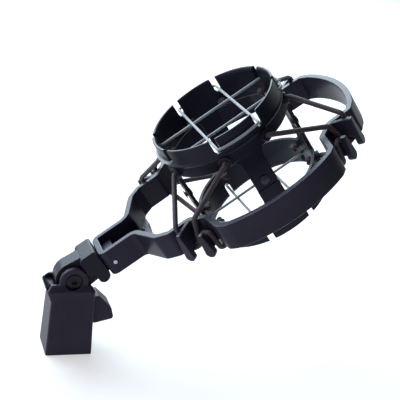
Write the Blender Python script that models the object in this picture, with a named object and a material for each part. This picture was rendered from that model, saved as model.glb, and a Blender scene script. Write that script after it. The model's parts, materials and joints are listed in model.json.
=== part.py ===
"""Elastic shock mount for a large microphone: a stand adapter, a tilting frame and a sprung basket.

Metres, +Z up. The origin is the centre of the stand seat, at the foot of the adapter. The arm leans
up towards +X and turns about the Y axis through the fork of the adapter.
"""

import math

import bmesh
import bpy
from mathutils import Matrix, Vector

# --- driving dimensions -----------------------------------------------------------------------

GAP = 0.0003

TILT = math.radians(38.4)
PIVOT_HEIGHT = 0.0435
ARM_REACH = 0.1148
CAGE_RISE = 0.00115
FRAME_RISE = -0.0020

# Stand adapter
FOOT_HALF = (0.0130, 0.0120)
NECK_HALF = (0.0120, 0.0108)
NECK_HEIGHT = 0.0320
COLLAR_LEFT = 0.0148
COLLAR_FRONT = 0.0118
COLLAR_HEIGHT = 0.0387
COLLAR_TOP = 0.0417
COLLAR_TOP_HALF = 0.0092
COLLAR_DRAW = 0.0026
EAR_RADIUS = 0.0078
EAR_OUTSIDE = 0.0092
EAR_INSIDE = 0.0068
TONGUE_RADIUS = 0.0096
TONGUE_HALF = 0.0054
HEEL_HALF = 0.0060
SOCKET_RADIUS = 0.0102
SOCKET_DEPTH = 0.0200
BLOCK_CORNERS = [0.0012, 0.0012, 0.0012, 0.0034]
FORK_BASE = 0.0340
INSERT_BORE = 0.0076
INSERT_START = 0.0006
INSERT_LENGTH = 0.0180
BOLT_RADIUS = 0.0025
BOLT_HEAD_RADIUS = 0.0044
BOLT_HEAD_DEPTH = 0.0013
BOLT_KEY_RADIUS = 0.0017
NUT_RADIUS = 0.0046
NUT_THICKNESS = 0.0032
NUT_POCKET = 0.0010
WASHER_RADIUS = 0.0075
WASHER_THICKNESS = 0.0008

# Tilt link, between the fork and the arm
LINK_BODY_START = 0.0116
LINK_CHEEK_START = 0.0086
LINK_CHEEK_BOTTOM = -0.0020
LINK_BODY_HALF = 0.0094
LINK_TOP = 0.0088
LINK_BOTTOM = -0.0110
TENON_HALF = 0.0072
TENON_LENGTH = 0.0095
TENON_HEIGHT = 0.0085
PIN_RADIUS = 0.0013
PIN_SETBACK = 0.0060

# Frame: a wall of one thickness and height that follows one closed line
FRAME_RADIUS = 0.0672
FRAME_WALL = 0.0036
FRAME_HEIGHT = 0.0155
# Corners of one pocket: radius from the axis, degrees round it, bend radius
POCKET = ((0.0663, 29.8, 0.0), (0.0560, 36.4, 0.0), (0.0552, 48.8, 0.0030), (0.0660, 58.6, 0.0))
ARM_END = 0.0955
ARM_HALF = 0.0116
ARM_JUNCTION = 0.0728
WEB_THICKNESS = 0.0025
SILL_HEIGHT = 0.0060
# Hooks: a thin neck that an elastic is held by, with a tongue across its end that keeps it there
NECK_THICKNESS = 0.0024
NECK_ONE_CUT = 0.0036
NECK_TWO_CUT = 0.0044
TONGUE_THICKNESS = 0.0032
TONGUE_TOP_HALF = 0.0014
TONGUE_END_RADIUS = 0.0029
TONGUE_TAIL = 0.0027
TONGUE_ONE_LEAN = -0.0011
HOOK_ONE_ANGLE = math.radians(37.5)
HOOK_TWO_ANGLE = math.radians(47.4)
HOOK_ONE_REACH = 0.0690
HOOK_TWO_REACH = 0.0672
HOOK_ROOT = 0.0562
HOOK_TWO_DROP = 0.0034

# Basket: two rings joined by four straps
RING_RADIUS = 0.0370
RING_WALL = 0.0024
CAGE_HALF = 0.0350
RING_EDGE = 0.0166
BEAD_HEIGHT = 0.0246
BEAD_PROUD = 0.0008
SLIT_ANGLE = math.radians(20.0)
SLIT_WIDTH = 0.0034
SLIT_DEPTH = 0.0088
STRAP_HALF_ANGLE = math.radians(10.2)
LAP_HALF = 0.0045
EYE_HEIGHT = 0.0205
EYE_RADIUS = 0.0017
EYE_BOSS_RADIUS = 0.0034
EYE_BOSS_PROUD = 0.0016
RIVET_RADIUS = 0.0014
RIVET_HEAD_RADIUS = 0.0026
RIVET_HEAD_HEIGHT = 0.0011

# Cords
ELASTIC_RADIUS = 0.0014
ELASTIC_BEND = 0.0016
GRIP_RADIUS = 0.00075
GRIP_LIFT = 0.0018
# Where an elastic crosses the wall: radius from the axis and degrees round it
UPPER_CROSSINGS = ((0.0584, 43.7),)
LOWER_CROSSINGS = ((0.0585, 42.8), (0.0612, 50.4))
# An elastic beside its hook: distance from the axis and across the neck, out, round the neck and back
UPPER_HOLD = ((0.0641, -0.0029), (0.0633, 0.0), (0.0615, 0.0028))
LOWER_HOLD = ((0.0605, -0.0029), (0.0611, 0.0), (0.0617, 0.0029))


SLIT_OFFSET = RING_RADIUS * math.sin(SLIT_ANGLE)
FRAME_MIDDLE = FRAME_RISE - CAGE_RISE


# --- scene ------------------------------------------------------------------------------------


def clear_scene() -> None:
    for old in list(bpy.data.objects):
        bpy.data.objects.remove(old, do_unlink=True)


def material(name: str, colour: tuple, roughness: float, metallic: float = 0.0):
    made = bpy.data.materials.new(name)
    made.use_nodes = True
    shader = made.node_tree.nodes["Principled BSDF"]
    shader.inputs["Base Color"].default_value = (*colour, 1.0)
    shader.inputs["Roughness"].default_value = roughness
    shader.inputs["Metallic"].default_value = metallic
    return made


def link_object(name: str, data, parent=None):
    made = bpy.data.objects.new(name, data)
    bpy.context.scene.collection.objects.link(made)
    made.parent = parent
    return made


def from_bmesh(name: str, shape: bmesh.types.BMesh, parent=None, finish=None):
    bmesh.ops.recalc_face_normals(shape, faces=shape.faces)
    data = bpy.data.meshes.new(name)
    shape.to_mesh(data)
    shape.free()
    data.shade_smooth()
    data.set_sharp_from_angle(angle=math.radians(32))
    if finish:
        data.materials.append(finish)
    return link_object(name, data, parent)


def helper(name: str, shape: bmesh.types.BMesh, parent=None):
    made = from_bmesh(name, shape, parent)
    made.hide_render = True
    made.display_type = "WIRE"
    return made


def boolean(target, other, operation: str) -> None:
    step = target.modifiers.new(f"{operation.lower()} {other.name}", "BOOLEAN")
    step.operation = operation
    step.solver = "EXACT"
    step.object = other


# --- outlines and solids ----------------------------------------------------------------------


def arc(centre: tuple, radius: float, start: float, end: float, steps: int) -> list:
    """Points on an arc, angles in radians."""
    points = []
    for step in range(steps + 1):
        angle = start + (end - start) * step / steps
        points.append((centre[0] + radius * math.cos(angle), centre[1] + radius * math.sin(angle)))
    return points


def polar(radius: float, angle: float) -> tuple:
    return (radius * math.cos(angle), radius * math.sin(angle))


def prism(outline: list, low: float, high: float, axis: str = "Z") -> bmesh.types.BMesh:
    """A closed solid: the outline drawn across an axis and pushed from low to high along it."""
    place = {
        "Z": lambda a, b, c: (a, b, c),
        "Y": lambda a, b, c: (a, c, b),
        "X": lambda a, b, c: (c, a, b),
    }[axis]
    shape = bmesh.new()
    rows = [[shape.verts.new(place(a, b, c)) for a, b in outline] for c in (low, high)]
    count = len(outline)
    for index in range(count):
        after = (index + 1) % count
        shape.faces.new((rows[0][index], rows[0][after], rows[1][after], rows[1][index]))
    shape.faces.new(rows[0])
    shape.faces.new(rows[1])
    return shape


def rectangle(low_a: float, high_a: float, low_b: float, high_b: float) -> list:
    return [(low_a, low_b), (high_a, low_b), (high_a, high_b), (low_a, high_b)]


def lathe(profile: list, steps: int) -> bmesh.types.BMesh:
    """A closed profile of (radius, height) points turned once about Z."""
    shape = bmesh.new()
    rings = []
    for step in range(steps):
        angle = 2 * math.pi * step / steps
        rings.append([shape.verts.new((*polar(r, angle), z)) for r, z in profile])
    for step in range(steps):
        here, there = rings[step], rings[(step + 1) % steps]
        for index in range(len(profile)):
            after = (index + 1) % len(profile)
            shape.faces.new((here[index], there[index], there[after], here[after]))
    return shape


def turned_along_y(profile: list, steps: int) -> bmesh.types.BMesh:
    """A closed profile of (radius, y) points turned once about Y; a radius of zero closes an end."""
    shape = bmesh.new()
    rings = []
    for radius, y in profile:
        if radius == 0.0:
            rings.append([shape.verts.new((0.0, y, 0.0))])
        else:
            around = arc((0.0, 0.0), radius, 0.0, 2 * math.pi, steps)[:-1]
            rings.append([shape.verts.new((a, y, b)) for a, b in around])
    for here, there in zip(rings, rings[1:]):
        for index in range(steps):
            after = (index + 1) % steps
            if len(here) == 1:
                shape.faces.new((here[0], there[index], there[after]))
            elif len(there) == 1:
                shape.faces.new((here[index], here[after], there[0]))
            else:
                shape.faces.new((here[index], here[after], there[after], there[index]))
    return shape


def corner_arc(before: Vector, here: Vector, after: Vector, radius: float, steps: int) -> list:
    """The arc that replaces a corner, in a plane or in space."""
    back, ahead = (before - here).normalized(), (after - here).normalized()
    opening = back.angle(ahead)
    if radius <= 0.0 or opening > math.radians(176):
        return [tuple(here)]
    centre = here + (back + ahead).normalized() * (radius / math.sin(opening / 2))
    reach = radius / math.tan(opening / 2)
    first, last = here + back * reach - centre, here + ahead * reach - centre
    swing = math.pi - opening
    points = []
    for step in range(steps + 1):
        share = step / steps
        mixed = first * math.sin((1 - share) * swing) + last * math.sin(share * swing)
        points.append(tuple(centre + mixed / math.sin(swing)))
    return points


def rounded(corners: list, radii: list, steps: int = 4) -> list:
    """A closed outline with each corner replaced by an arc of its own radius."""
    points = []
    for index, corner in enumerate(corners):
        after = corners[(index + 1) % len(corners)]
        points += corner_arc(Vector(corners[index - 1]), Vector(corner), Vector(after), radii[index], steps)
    return points


def wall_along(line: list, thickness: float, low: float, high: float) -> bmesh.types.BMesh:
    """A closed wall of one thickness standing on a closed line."""
    shape = bmesh.new()
    count = len(line)
    sections = []
    for index in range(count):
        here = Vector(line[index])
        before = (here - Vector(line[index - 1])).normalized()
        after = (Vector(line[(index + 1) % count]) - here).normalized()
        along = (before + after).normalized()
        across = Vector((along.y, -along.x)) * (thickness / 2 / max(0.5, along.dot(after)))
        sides = (here + across, here - across)
        corners = [(sides[0], low), (sides[0], high), (sides[1], high), (sides[1], low)]
        sections.append([shape.verts.new((p.x, p.y, z)) for p, z in corners])
    for index in range(count):
        here, there = sections[index], sections[(index + 1) % count]
        for side in range(4):
            after = (side + 1) % 4
            shape.faces.new((here[side], there[side], there[after], here[after]))
    return shape


def stretched(corners: list, radius: float) -> list:
    """A taut cord's route: straight spans with a small bend at each corner."""
    points = [corners[0]]
    for before, here, after in zip(corners, corners[1:], corners[2:]):
        ways = Vector(before) - Vector(here), Vector(after) - Vector(here)
        sharp = ways[0].angle(ways[1]) < math.radians(145)
        points += corner_arc(Vector(before), Vector(here), Vector(after), radius if sharp else 0.0, 3)
    return [*points, corners[-1]]


def cord(name: str, route: list, radius: float, parent, finish, closed=False):
    """A round cord: a curve with a round section, with filled ends unless it is a loop."""
    data = bpy.data.curves.new(name, "CURVE")
    data.dimensions = "3D"
    data.bevel_depth = radius
    data.bevel_resolution = 2
    data.use_fill_caps = not closed
    spline = data.splines.new("POLY")
    spline.points.add(len(route) - 1)
    for point, place in zip(spline.points, route):
        point.co = (*place, 1.0)
    spline.use_cyclic_u = closed
    data.materials.append(finish)
    return link_object(name, data, parent)


# --- stand adapter ----------------------------------------------------------------------------


def tapered_block() -> bmesh.types.BMesh:
    """The block: a foot that narrows to a neck, then an overhanging collar with a sloped top."""
    levels = [
        (0.0, -FOOT_HALF[0], FOOT_HALF[0], FOOT_HALF[1], FOOT_HALF[1]),
        (NECK_HEIGHT, -NECK_HALF[0], NECK_HALF[0], NECK_HALF[1], NECK_HALF[1]),
        (COLLAR_HEIGHT, -COLLAR_LEFT, NECK_HALF[0], COLLAR_FRONT, NECK_HALF[1]),
        (COLLAR_TOP, COLLAR_DRAW - COLLAR_LEFT, NECK_HALF[0] - COLLAR_DRAW, COLLAR_TOP_HALF, COLLAR_TOP_HALF),
    ]
    shape = bmesh.new()
    rows = []
    for height, left, right, front, back in levels:
        corners = [(left, -front), (right, -front), (right, back), (left, back)]
        outline = rounded(corners, BLOCK_CORNERS, 3)
        rows.append([shape.verts.new((x, y, height)) for x, y in outline])
    for low, high in zip(rows, rows[1:]):
        for index in range(len(low)):
            after = (index + 1) % len(low)
            shape.faces.new((low[index], low[after], high[after], high[index]))
    shape.faces.new(rows[0])
    shape.faces.new(rows[-1])
    return shape


def heel_outline() -> list:
    """The rounded gusset under the fork, seen along Y."""
    corners = [(0.0060, 0.0165), (0.0150, 0.0165), (0.0252, 0.0192), (0.0232, 0.0262), (0.0125, 0.0362),
               (0.0060, 0.0362)]
    return rounded(corners, [0, 0.003, 0.0016, 0.006, 0, 0], 4)


def make_adapter(plastic, brass, steel, nylon) -> None:
    body = from_bmesh("stand_adapter", tapered_block(), None, plastic)
    heel = helper("heel_blank", prism(heel_outline(), -HEEL_HALF, HEEL_HALF, "Y"))
    fork_outline = [(-EAR_RADIUS, FORK_BASE), (EAR_RADIUS, FORK_BASE)]
    fork_outline += arc((0.0, PIVOT_HEIGHT), EAR_RADIUS, 0.0, math.pi, 16)
    fork = helper("fork_blank", prism(fork_outline, -EAR_OUTSIDE, EAR_OUTSIDE, "Y"))
    room = TONGUE_RADIUS + 0.0007
    shoulder = COLLAR_HEIGHT + 0.0002
    dip = math.asin((PIVOT_HEIGHT - shoulder) / room)
    slot_outline = [(0.0200, 0.0600), (-0.0160, 0.0600), (-0.0160, shoulder)]
    slot_outline += arc((0.0, PIVOT_HEIGHT), room, math.pi + dip, 1.5 * math.pi, 10)
    slot_outline.append((0.0200, PIVOT_HEIGHT - room))
    slot = helper("fork_slot", prism(slot_outline, -EAR_INSIDE, EAR_INSIDE, "Y"))
    socket = helper("stand_socket", prism(arc((0, 0), SOCKET_RADIUS, 0, 2 * math.pi, 40)[:-1],
                                          -0.002, SOCKET_DEPTH))
    bolt_room = BOLT_RADIUS + GAP
    head_room = BOLT_HEAD_RADIUS + GAP
    nut_room = NUT_RADIUS + GAP
    hole = helper("bolt_hole", turned_along_y([
        (0.0, -EAR_OUTSIDE - 0.002), (head_room, -EAR_OUTSIDE - 0.002),
        (head_room, -EAR_OUTSIDE + BOLT_HEAD_DEPTH), (bolt_room, -EAR_OUTSIDE + BOLT_HEAD_DEPTH),
        (bolt_room, EAR_OUTSIDE + 0.002), (0.0, EAR_OUTSIDE + 0.002)], 24))
    hole.location = (0.0, 0.0, PIVOT_HEIGHT)
    pocket = helper("nut_pocket", prism(arc((0, 0), nut_room, 0, 2 * math.pi, 6)[:-1],
                                        EAR_OUTSIDE - NUT_POCKET, EAR_OUTSIDE + 0.004, "Y"))
    pocket.location = (0.0, 0.0, PIVOT_HEIGHT)
    for other, operation in ((fork, "UNION"), (heel, "UNION"), (slot, "DIFFERENCE"), (socket, "DIFFERENCE"),
                             (hole, "DIFFERENCE"), (pocket, "DIFFERENCE")):
        boolean(body, other, operation)

    outer = SOCKET_RADIUS - GAP
    insert = lathe([(INSERT_BORE, INSERT_START), (outer, INSERT_START), (outer, INSERT_LENGTH),
                    (INSERT_BORE, INSERT_LENGTH)], 40)
    from_bmesh("thread_insert", insert, None, brass)

    front = -EAR_OUTSIDE + 0.0002
    under_head = -EAR_OUTSIDE + BOLT_HEAD_DEPTH - GAP
    end = EAR_OUTSIDE + NUT_THICKNESS - 0.0008
    bolt = from_bmesh("pivot_bolt", turned_along_y([
        (0.0, front), (BOLT_HEAD_RADIUS, front), (BOLT_HEAD_RADIUS, under_head), (BOLT_RADIUS, under_head),
        (BOLT_RADIUS, end), (0.0, end)], 24), None, steel)
    bolt.location = (0.0, 0.0, PIVOT_HEIGHT)
    hexagon = arc((0, 0), BOLT_KEY_RADIUS, 0, 2 * math.pi, 6)[:-1]
    key = helper("bolt_key", prism(hexagon, front - 0.001, front + 0.0012, "Y"))
    key.location = bolt.location
    boolean(bolt, key, "DIFFERENCE")

    nut_low = EAR_OUTSIDE - NUT_POCKET + GAP
    nut = from_bmesh("pivot_nut", prism(arc((0, 0), NUT_RADIUS, 0, 2 * math.pi, 6)[:-1], nut_low,
                                        nut_low + NUT_THICKNESS, "Y"), None, steel)
    nut.location = bolt.location
    bore = helper("nut_bore", prism(arc((0, 0), bolt_room, 0, 2 * math.pi, 24)[:-1], 0.0, 0.03, "Y"))
    bore.location = bolt.location
    boolean(nut, bore, "DIFFERENCE")

    for name, side in (("near_washer", -1), ("far_washer", 1)):
        inner = side * (TONGUE_HALF + GAP)
        disc = lathe([(bolt_room, 0.0), (WASHER_RADIUS, 0.0), (WASHER_RADIUS, WASHER_THICKNESS),
                      (bolt_room, WASHER_THICKNESS)], 28)
        washer = from_bmesh(name, disc, None, nylon)
        washer.rotation_euler = (math.radians(-90 * side), 0.0, 0.0)
        washer.location = (0.0, inner, PIVOT_HEIGHT)


# --- tilt link --------------------------------------------------------------------------------


def make_link(tilt, plastic, steel) -> None:
    """The tongue in the fork, the block behind it and the tenon that enters the arm."""
    end = ARM_REACH - ARM_END - 0.0005
    tongue = arc((0.0, 0.0), TONGUE_RADIUS, math.pi / 2, 3 * math.pi / 2, 16)
    tongue += [(end - 0.002, 0.0006 - LINK_TOP), (end - 0.002, LINK_TOP - 0.0006)]
    link = from_bmesh("tilt_link", prism(tongue, -TONGUE_HALF, TONGUE_HALF, "Y"), tilt, plastic)
    corners = [(LINK_BODY_START, LINK_BOTTOM), (end, LINK_BOTTOM), (end, LINK_TOP), (LINK_CHEEK_START, LINK_TOP),
               (LINK_CHEEK_START, LINK_CHEEK_BOTTOM), (LINK_BODY_START, LINK_CHEEK_BOTTOM - 0.0008)]
    block = rounded(corners, [0.0030, 0.0042, 0.0012, 0.0026, 0.0, 0.0], 4)
    body = helper("link_block", prism(block, -LINK_BODY_HALF, LINK_BODY_HALF, "Y"), tilt)
    low = FRAME_RISE - FRAME_HEIGHT / 2 + WEB_THICKNESS + GAP
    tenon = helper("link_tenon", prism(rectangle(end - 0.004, end + TENON_LENGTH, low, low + TENON_HEIGHT),
                                       -TENON_HALF, TENON_HALF, "Y"), tilt)
    hole = helper("link_bolt_hole", prism(arc((0, 0), BOLT_RADIUS + GAP, 0, 2 * math.pi, 24)[:-1],
                                          -0.02, 0.02, "Y"), tilt)
    middle = (end + PIN_SETBACK, low + TENON_HEIGHT / 2)
    pin_hole = helper("link_pin_hole", prism(arc(middle, PIN_RADIUS + GAP, 0, 2 * math.pi, 16)[:-1],
                                             -0.02, 0.02, "Y"), tilt)
    for other in (body, tenon):
        boolean(link, other, "UNION")
    for other in (hole, pin_hole):
        boolean(link, other, "DIFFERENCE")
    pin = from_bmesh("arm_pin", turned_along_y([
        (0.0, -ARM_HALF - 0.0002), (PIN_RADIUS, -ARM_HALF - 0.0002), (PIN_RADIUS, ARM_HALF + 0.0002),
        (0.0, ARM_HALF + 0.0002)], 16), tilt, steel)
    pin.location = (middle[0], 0.0, middle[1])


# --- frame ------------------------------------------------------------------------------------


def frame_line() -> list:
    """The middle line of the frame's wall: arm, junctions, four petals and four pockets between them."""
    inset = FRAME_WALL / 2
    quarter = [(polar(radius, math.radians(angle)), bend) for radius, angle, bend in POCKET]
    arm = ARM_HALF - inset
    corners, radii = [], []

    def add(points, sx, sy):
        for (x, y), radius in points:
            corners.append((sx * x, sy * y))
            radii.append(radius)

    def petal(start, end, steps):
        for point in arc((0.0, 0.0), FRAME_RADIUS, math.radians(start), math.radians(end), steps):
            corners.append(point)
            radii.append(0.0)

    petal(-24, 24, 12)
    add(quarter, 1, 1)
    petal(62, 118, 14)
    add(quarter[::-1], -1, 1)
    side = [(polar(0.0700, math.radians(24.0)), 0.004), ((ARM_JUNCTION - 0.0004, arm), 0.006),
            ((ARM_END - inset, arm), 0.0026)]
    add(side, -1, 1)
    add(side[::-1], -1, -1)
    add(quarter, -1, -1)
    petal(242, 298, 14)
    add(quarter[::-1], 1, -1)
    return rounded(corners, radii, 4)


def hook(angle: float, reach: float, lean: float, neck: tuple, top: float, sx: int, sy: int) -> list:
    """A radial neck from a low to a high level, and the tongue across its end, wider towards its foot."""
    foot = FRAME_MIDDLE - FRAME_HEIGHT / 2 - TONGUE_TAIL + TONGUE_END_RADIUS
    outline = [(TONGUE_TOP_HALF, top), (-TONGUE_TOP_HALF, top)]
    outline += arc((lean, foot), TONGUE_END_RADIUS, math.pi * 0.97, math.pi * 2.03, 8)
    half = NECK_THICKNESS / 2
    shapes = [
        prism(rectangle(HOOK_ROOT, reach - TONGUE_THICKNESS / 2, -half, half), *neck),
        prism(outline, reach - TONGUE_THICKNESS, reach, "X"),
    ]
    for shape in shapes:
        bmesh.ops.rotate(shape, verts=shape.verts, matrix=Matrix.Rotation(angle, 3, "Z"))
        bmesh.ops.scale(shape, verts=shape.verts, vec=(sx, sy, 1.0))
    return shapes


def make_frame(cage, tilt, plastic) -> None:
    low = FRAME_MIDDLE - FRAME_HEIGHT / 2
    high = FRAME_MIDDLE + FRAME_HEIGHT / 2
    frame = from_bmesh("outer_frame", wall_along(frame_line(), FRAME_WALL, low, high), cage, plastic)
    inner = FRAME_RADIUS - FRAME_WALL / 2 - 0.0006
    mouth = math.asin((ARM_HALF + 0.0002) / inner)
    curve = arc((0.0, 0.0), inner, math.pi + mouth, math.pi - mouth, 8)
    deep = -ARM_END + FRAME_WALL / 2
    web = helper("arm_web", prism([(deep, ARM_HALF - 0.0018), (deep, -ARM_HALF + 0.0018), *curve],
                                  low + 0.0001, low + WEB_THICKNESS), cage)
    sill_line = arc((0.0, 0.0), inner + 0.0003, math.pi + mouth * 1.25, math.pi - mouth * 1.25, 10)
    sill_line += arc((0.0, 0.0), inner + 0.0026, math.pi - mouth * 1.25, math.pi + mouth * 1.25, 10)
    sill = helper("mouth_sill", prism(sill_line, low + 0.0002, low + SILL_HEIGHT), cage)
    boolean(frame, web, "UNION")
    boolean(frame, sill, "UNION")
    for number, (sx, sy) in enumerate(((1, 1), (-1, 1), (-1, -1), (1, -1))):
        neck = (low + NECK_ONE_CUT, high - 0.0001)
        blanks = hook(HOOK_ONE_ANGLE, HOOK_ONE_REACH, TONGUE_ONE_LEAN, neck, high - 0.0004, sx, sy)
        top = high - HOOK_TWO_DROP
        neck = (low + 0.0003, top - NECK_TWO_CUT)
        blanks += hook(HOOK_TWO_ANGLE, HOOK_TWO_REACH, 0.0, neck, top, sx, sy)
        for part, blank in enumerate(blanks):
            boolean(frame, helper(f"hook_{number}_{part}", blank, cage), "UNION")
    tenon_low = FRAME_RISE - FRAME_HEIGHT / 2 + WEB_THICKNESS
    opening = rectangle(-0.03, 0.0235, tenon_low, tenon_low + TENON_HEIGHT + 2 * GAP)
    window = helper("tenon_window", prism(opening, -TENON_HALF - GAP, TENON_HALF + GAP, "Y"), tilt)
    middle = (ARM_REACH - ARM_END - 0.0005 + PIN_SETBACK, tenon_low + GAP + TENON_HEIGHT / 2)
    pin_hole = helper("arm_pin_hole", prism(arc(middle, PIN_RADIUS + GAP, 0, 2 * math.pi, 16)[:-1],
                                            -0.02, 0.02, "Y"), tilt)
    boolean(frame, window, "DIFFERENCE")
    boolean(frame, pin_hole, "DIFFERENCE")


# --- basket -----------------------------------------------------------------------------------


def ring_profile(up: int) -> list:
    """The ring's section as (radius, height): a flared lip at the rim and a bead below it."""
    inner = RING_RADIUS - RING_WALL
    points = [
        (inner, RING_EDGE), (RING_RADIUS - 0.0002, RING_EDGE), (RING_RADIUS, BEAD_HEIGHT - 0.0010),
        (RING_RADIUS + BEAD_PROUD, BEAD_HEIGHT), (RING_RADIUS, BEAD_HEIGHT + 0.0010),
        (RING_RADIUS, CAGE_HALF), (inner + 0.0014, CAGE_HALF), (inner, CAGE_HALF - 0.0024),
    ]
    return [(r, up * z) for r, z in points]


def strap(angle: float, inner: float, outer: float, stations: list) -> bmesh.types.BMesh:
    """A strap that follows the ring: stations give its height and its half width there."""
    steps = 6
    shape = bmesh.new()
    grid = []
    for radius in (inner, outer):
        rows = []
        for height, half in stations:
            across = [angle - half + 2 * half * step / steps for step in range(steps + 1)]
            rows.append([shape.verts.new((*polar(radius, a), height)) for a in across])
        grid.append(rows)
    last = len(stations) - 1
    for row in range(last):
        for step in range(steps):
            for side in (0, 1):
                shape.faces.new((grid[side][row][step], grid[side][row][step + 1],
                                 grid[side][row + 1][step + 1], grid[side][row + 1][step]))
        for step in (0, steps):
            shape.faces.new((grid[0][row][step], grid[1][row][step], grid[1][row + 1][step],
                             grid[0][row + 1][step]))
    for row in (0, last):
        for step in range(steps):
            shape.faces.new((grid[0][row][step], grid[0][row][step + 1], grid[1][row][step + 1],
                             grid[1][row][step]))
    return shape


def slit_outline(up: int) -> list:
    """A slit seen along its cord: straight sides and a round bottom."""
    half = SLIT_WIDTH / 2
    low = CAGE_HALF - SLIT_DEPTH + half
    outline = [(half, CAGE_HALF + 0.003), (-half, CAGE_HALF + 0.003)]
    outline += arc((0.0, low), half, math.pi, 2 * math.pi, 6)
    return [(a, up * b) for a, b in outline]


def radial_cylinder(radius: float, start: float, end: float, angle: float, height: float):
    shape = prism(arc((0, 0), radius, 0, 2 * math.pi, 14)[:-1], start, end, "X")
    bmesh.ops.translate(shape, verts=shape.verts, vec=(0.0, 0.0, height))
    bmesh.ops.rotate(shape, verts=shape.verts, matrix=Matrix.Rotation(angle, 3, "Z"))
    return shape


def eye_angles() -> list:
    return [math.radians(90 * quarter) + side * SLIT_ANGLE for quarter in range(4) for side in (-1, 1)]


def make_basket(name: str, up: int, cage, plastic) -> None:
    """One moulding: a ring and four half straps. Up is 1 for the upper one and -1 for the lower."""
    basket = from_bmesh(name, lathe(ring_profile(up), 48), cage, plastic)
    inner = RING_RADIUS - RING_WALL
    split = RING_RADIUS - RING_WALL / 2
    lap = (split + GAP / 2, RING_RADIUS - 0.00025) if up > 0 else (inner + 0.00025, split - GAP / 2)
    for quarter in range(4):
        angle = math.radians(90 * quarter)
        wide = STRAP_HALF_ANGLE * (1.22 if up < 0 else 1.08)
        stations = [(up * (RING_EDGE + 0.0012), wide * 1.12), (up * (RING_EDGE - 0.0012), wide),
                    (up * (RING_EDGE - 0.0042), STRAP_HALF_ANGLE), (up * (LAP_HALF + GAP), STRAP_HALF_ANGLE)]
        half_strap = strap(angle, inner + 0.0001, RING_RADIUS - 0.0001, stations)
        boolean(basket, helper(f"{name}_strap_{quarter}", half_strap, cage), "UNION")
        narrow = STRAP_HALF_ANGLE * 0.98
        stations = [(up * (LAP_HALF + 0.0010), narrow), (-up * LAP_HALF, narrow)]
        tongue = helper(f"{name}_lap_{quarter}", strap(angle, *lap, stations), cage)
        boolean(basket, tongue, "UNION")
    for number, angle in enumerate(eye_angles()):
        boss = radial_cylinder(EYE_BOSS_RADIUS, RING_RADIUS - 0.001, RING_RADIUS + EYE_BOSS_PROUD, angle,
                               up * EYE_HEIGHT)
        boolean(basket, helper(f"{name}_boss_{number}", boss, cage), "UNION")
    for number, angle in enumerate(eye_angles()):
        eye = radial_cylinder(EYE_RADIUS, 0.03, 0.05, angle, up * EYE_HEIGHT)
        boolean(basket, helper(f"{name}_eye_{number}", eye, cage), "DIFFERENCE")
    for axis in "XY":
        for side in (-1, 1):
            outline = [(a + side * SLIT_OFFSET, b) for a, b in slit_outline(up)]
            slit = prism(outline, -0.05, 0.05, axis)
            boolean(basket, helper(f"{name}_slit_{axis}{side}", slit, cage), "DIFFERENCE")
    for quarter in range(4):
        hole = radial_cylinder(RIVET_RADIUS + GAP, 0.03, 0.05, math.radians(90 * quarter), 0.0)
        boolean(basket, helper(f"{name}_rivet_hole_{quarter}", hole, cage), "DIFFERENCE")


def make_rivets(cage, plastic) -> None:
    """A rivet through each lap, with a low domed head on each side."""
    inner, head, crown = RING_RADIUS - RING_WALL, RIVET_HEAD_RADIUS, RIVET_HEAD_RADIUS * 0.7
    dome = RIVET_HEAD_HEIGHT - 0.0001
    profile = [(0.0, inner - RIVET_HEAD_HEIGHT), (crown, inner - dome), (head, inner - GAP),
               (RIVET_RADIUS, inner - GAP), (RIVET_RADIUS, RING_RADIUS + GAP), (head, RING_RADIUS + GAP),
               (crown, RING_RADIUS + dome), (0.0, RING_RADIUS + RIVET_HEAD_HEIGHT)]
    for number, name in enumerate(("right", "far", "left", "near")):
        rivet = from_bmesh(f"{name}_strap_rivet", turned_along_y(profile, 16), cage, plastic)
        rivet.rotation_euler = (0.0, 0.0, math.radians(90 * number - 90))


# --- cords ------------------------------------------------------------------------------------


def grip_route(up: int, axis: str) -> list:
    """A closed loop: across the ring, round the outside to the next slit, back across and round again."""
    lift = GRIP_LIFT if axis == "Y" else 0.0
    height = up * (CAGE_HALF - SLIT_DEPTH + GRIP_RADIUS + GAP + lift)
    outside = RING_RADIUS + GRIP_RADIUS + GAP + 0.0003
    swing = math.asin(SLIT_OFFSET / outside)
    corners = arc((0.0, 0.0), outside, -swing, swing, 6)
    corners += arc((0.0, 0.0), outside, math.pi - swing, math.pi + swing, 6)
    radii = [0.0] * len(corners)
    for corner in (0, 6, 7, 13):
        radii[corner] = 0.0013
    outline = rounded(corners, radii, 3)
    filled = []
    for here, there in zip(outline, outline[1:] + outline[:1]):
        filled.append(here)
        span = math.dist(here, there)
        for step in range(1, round(span / 0.012)):
            share = step / round(span / 0.012)
            filled.append((here[0] + (there[0] - here[0]) * share, here[1] + (there[1] - here[1]) * share))
    if axis == "Y":
        filled = [(-y, x) for x, y in filled]
    return [(x, y, height) for x, y in filled]


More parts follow.
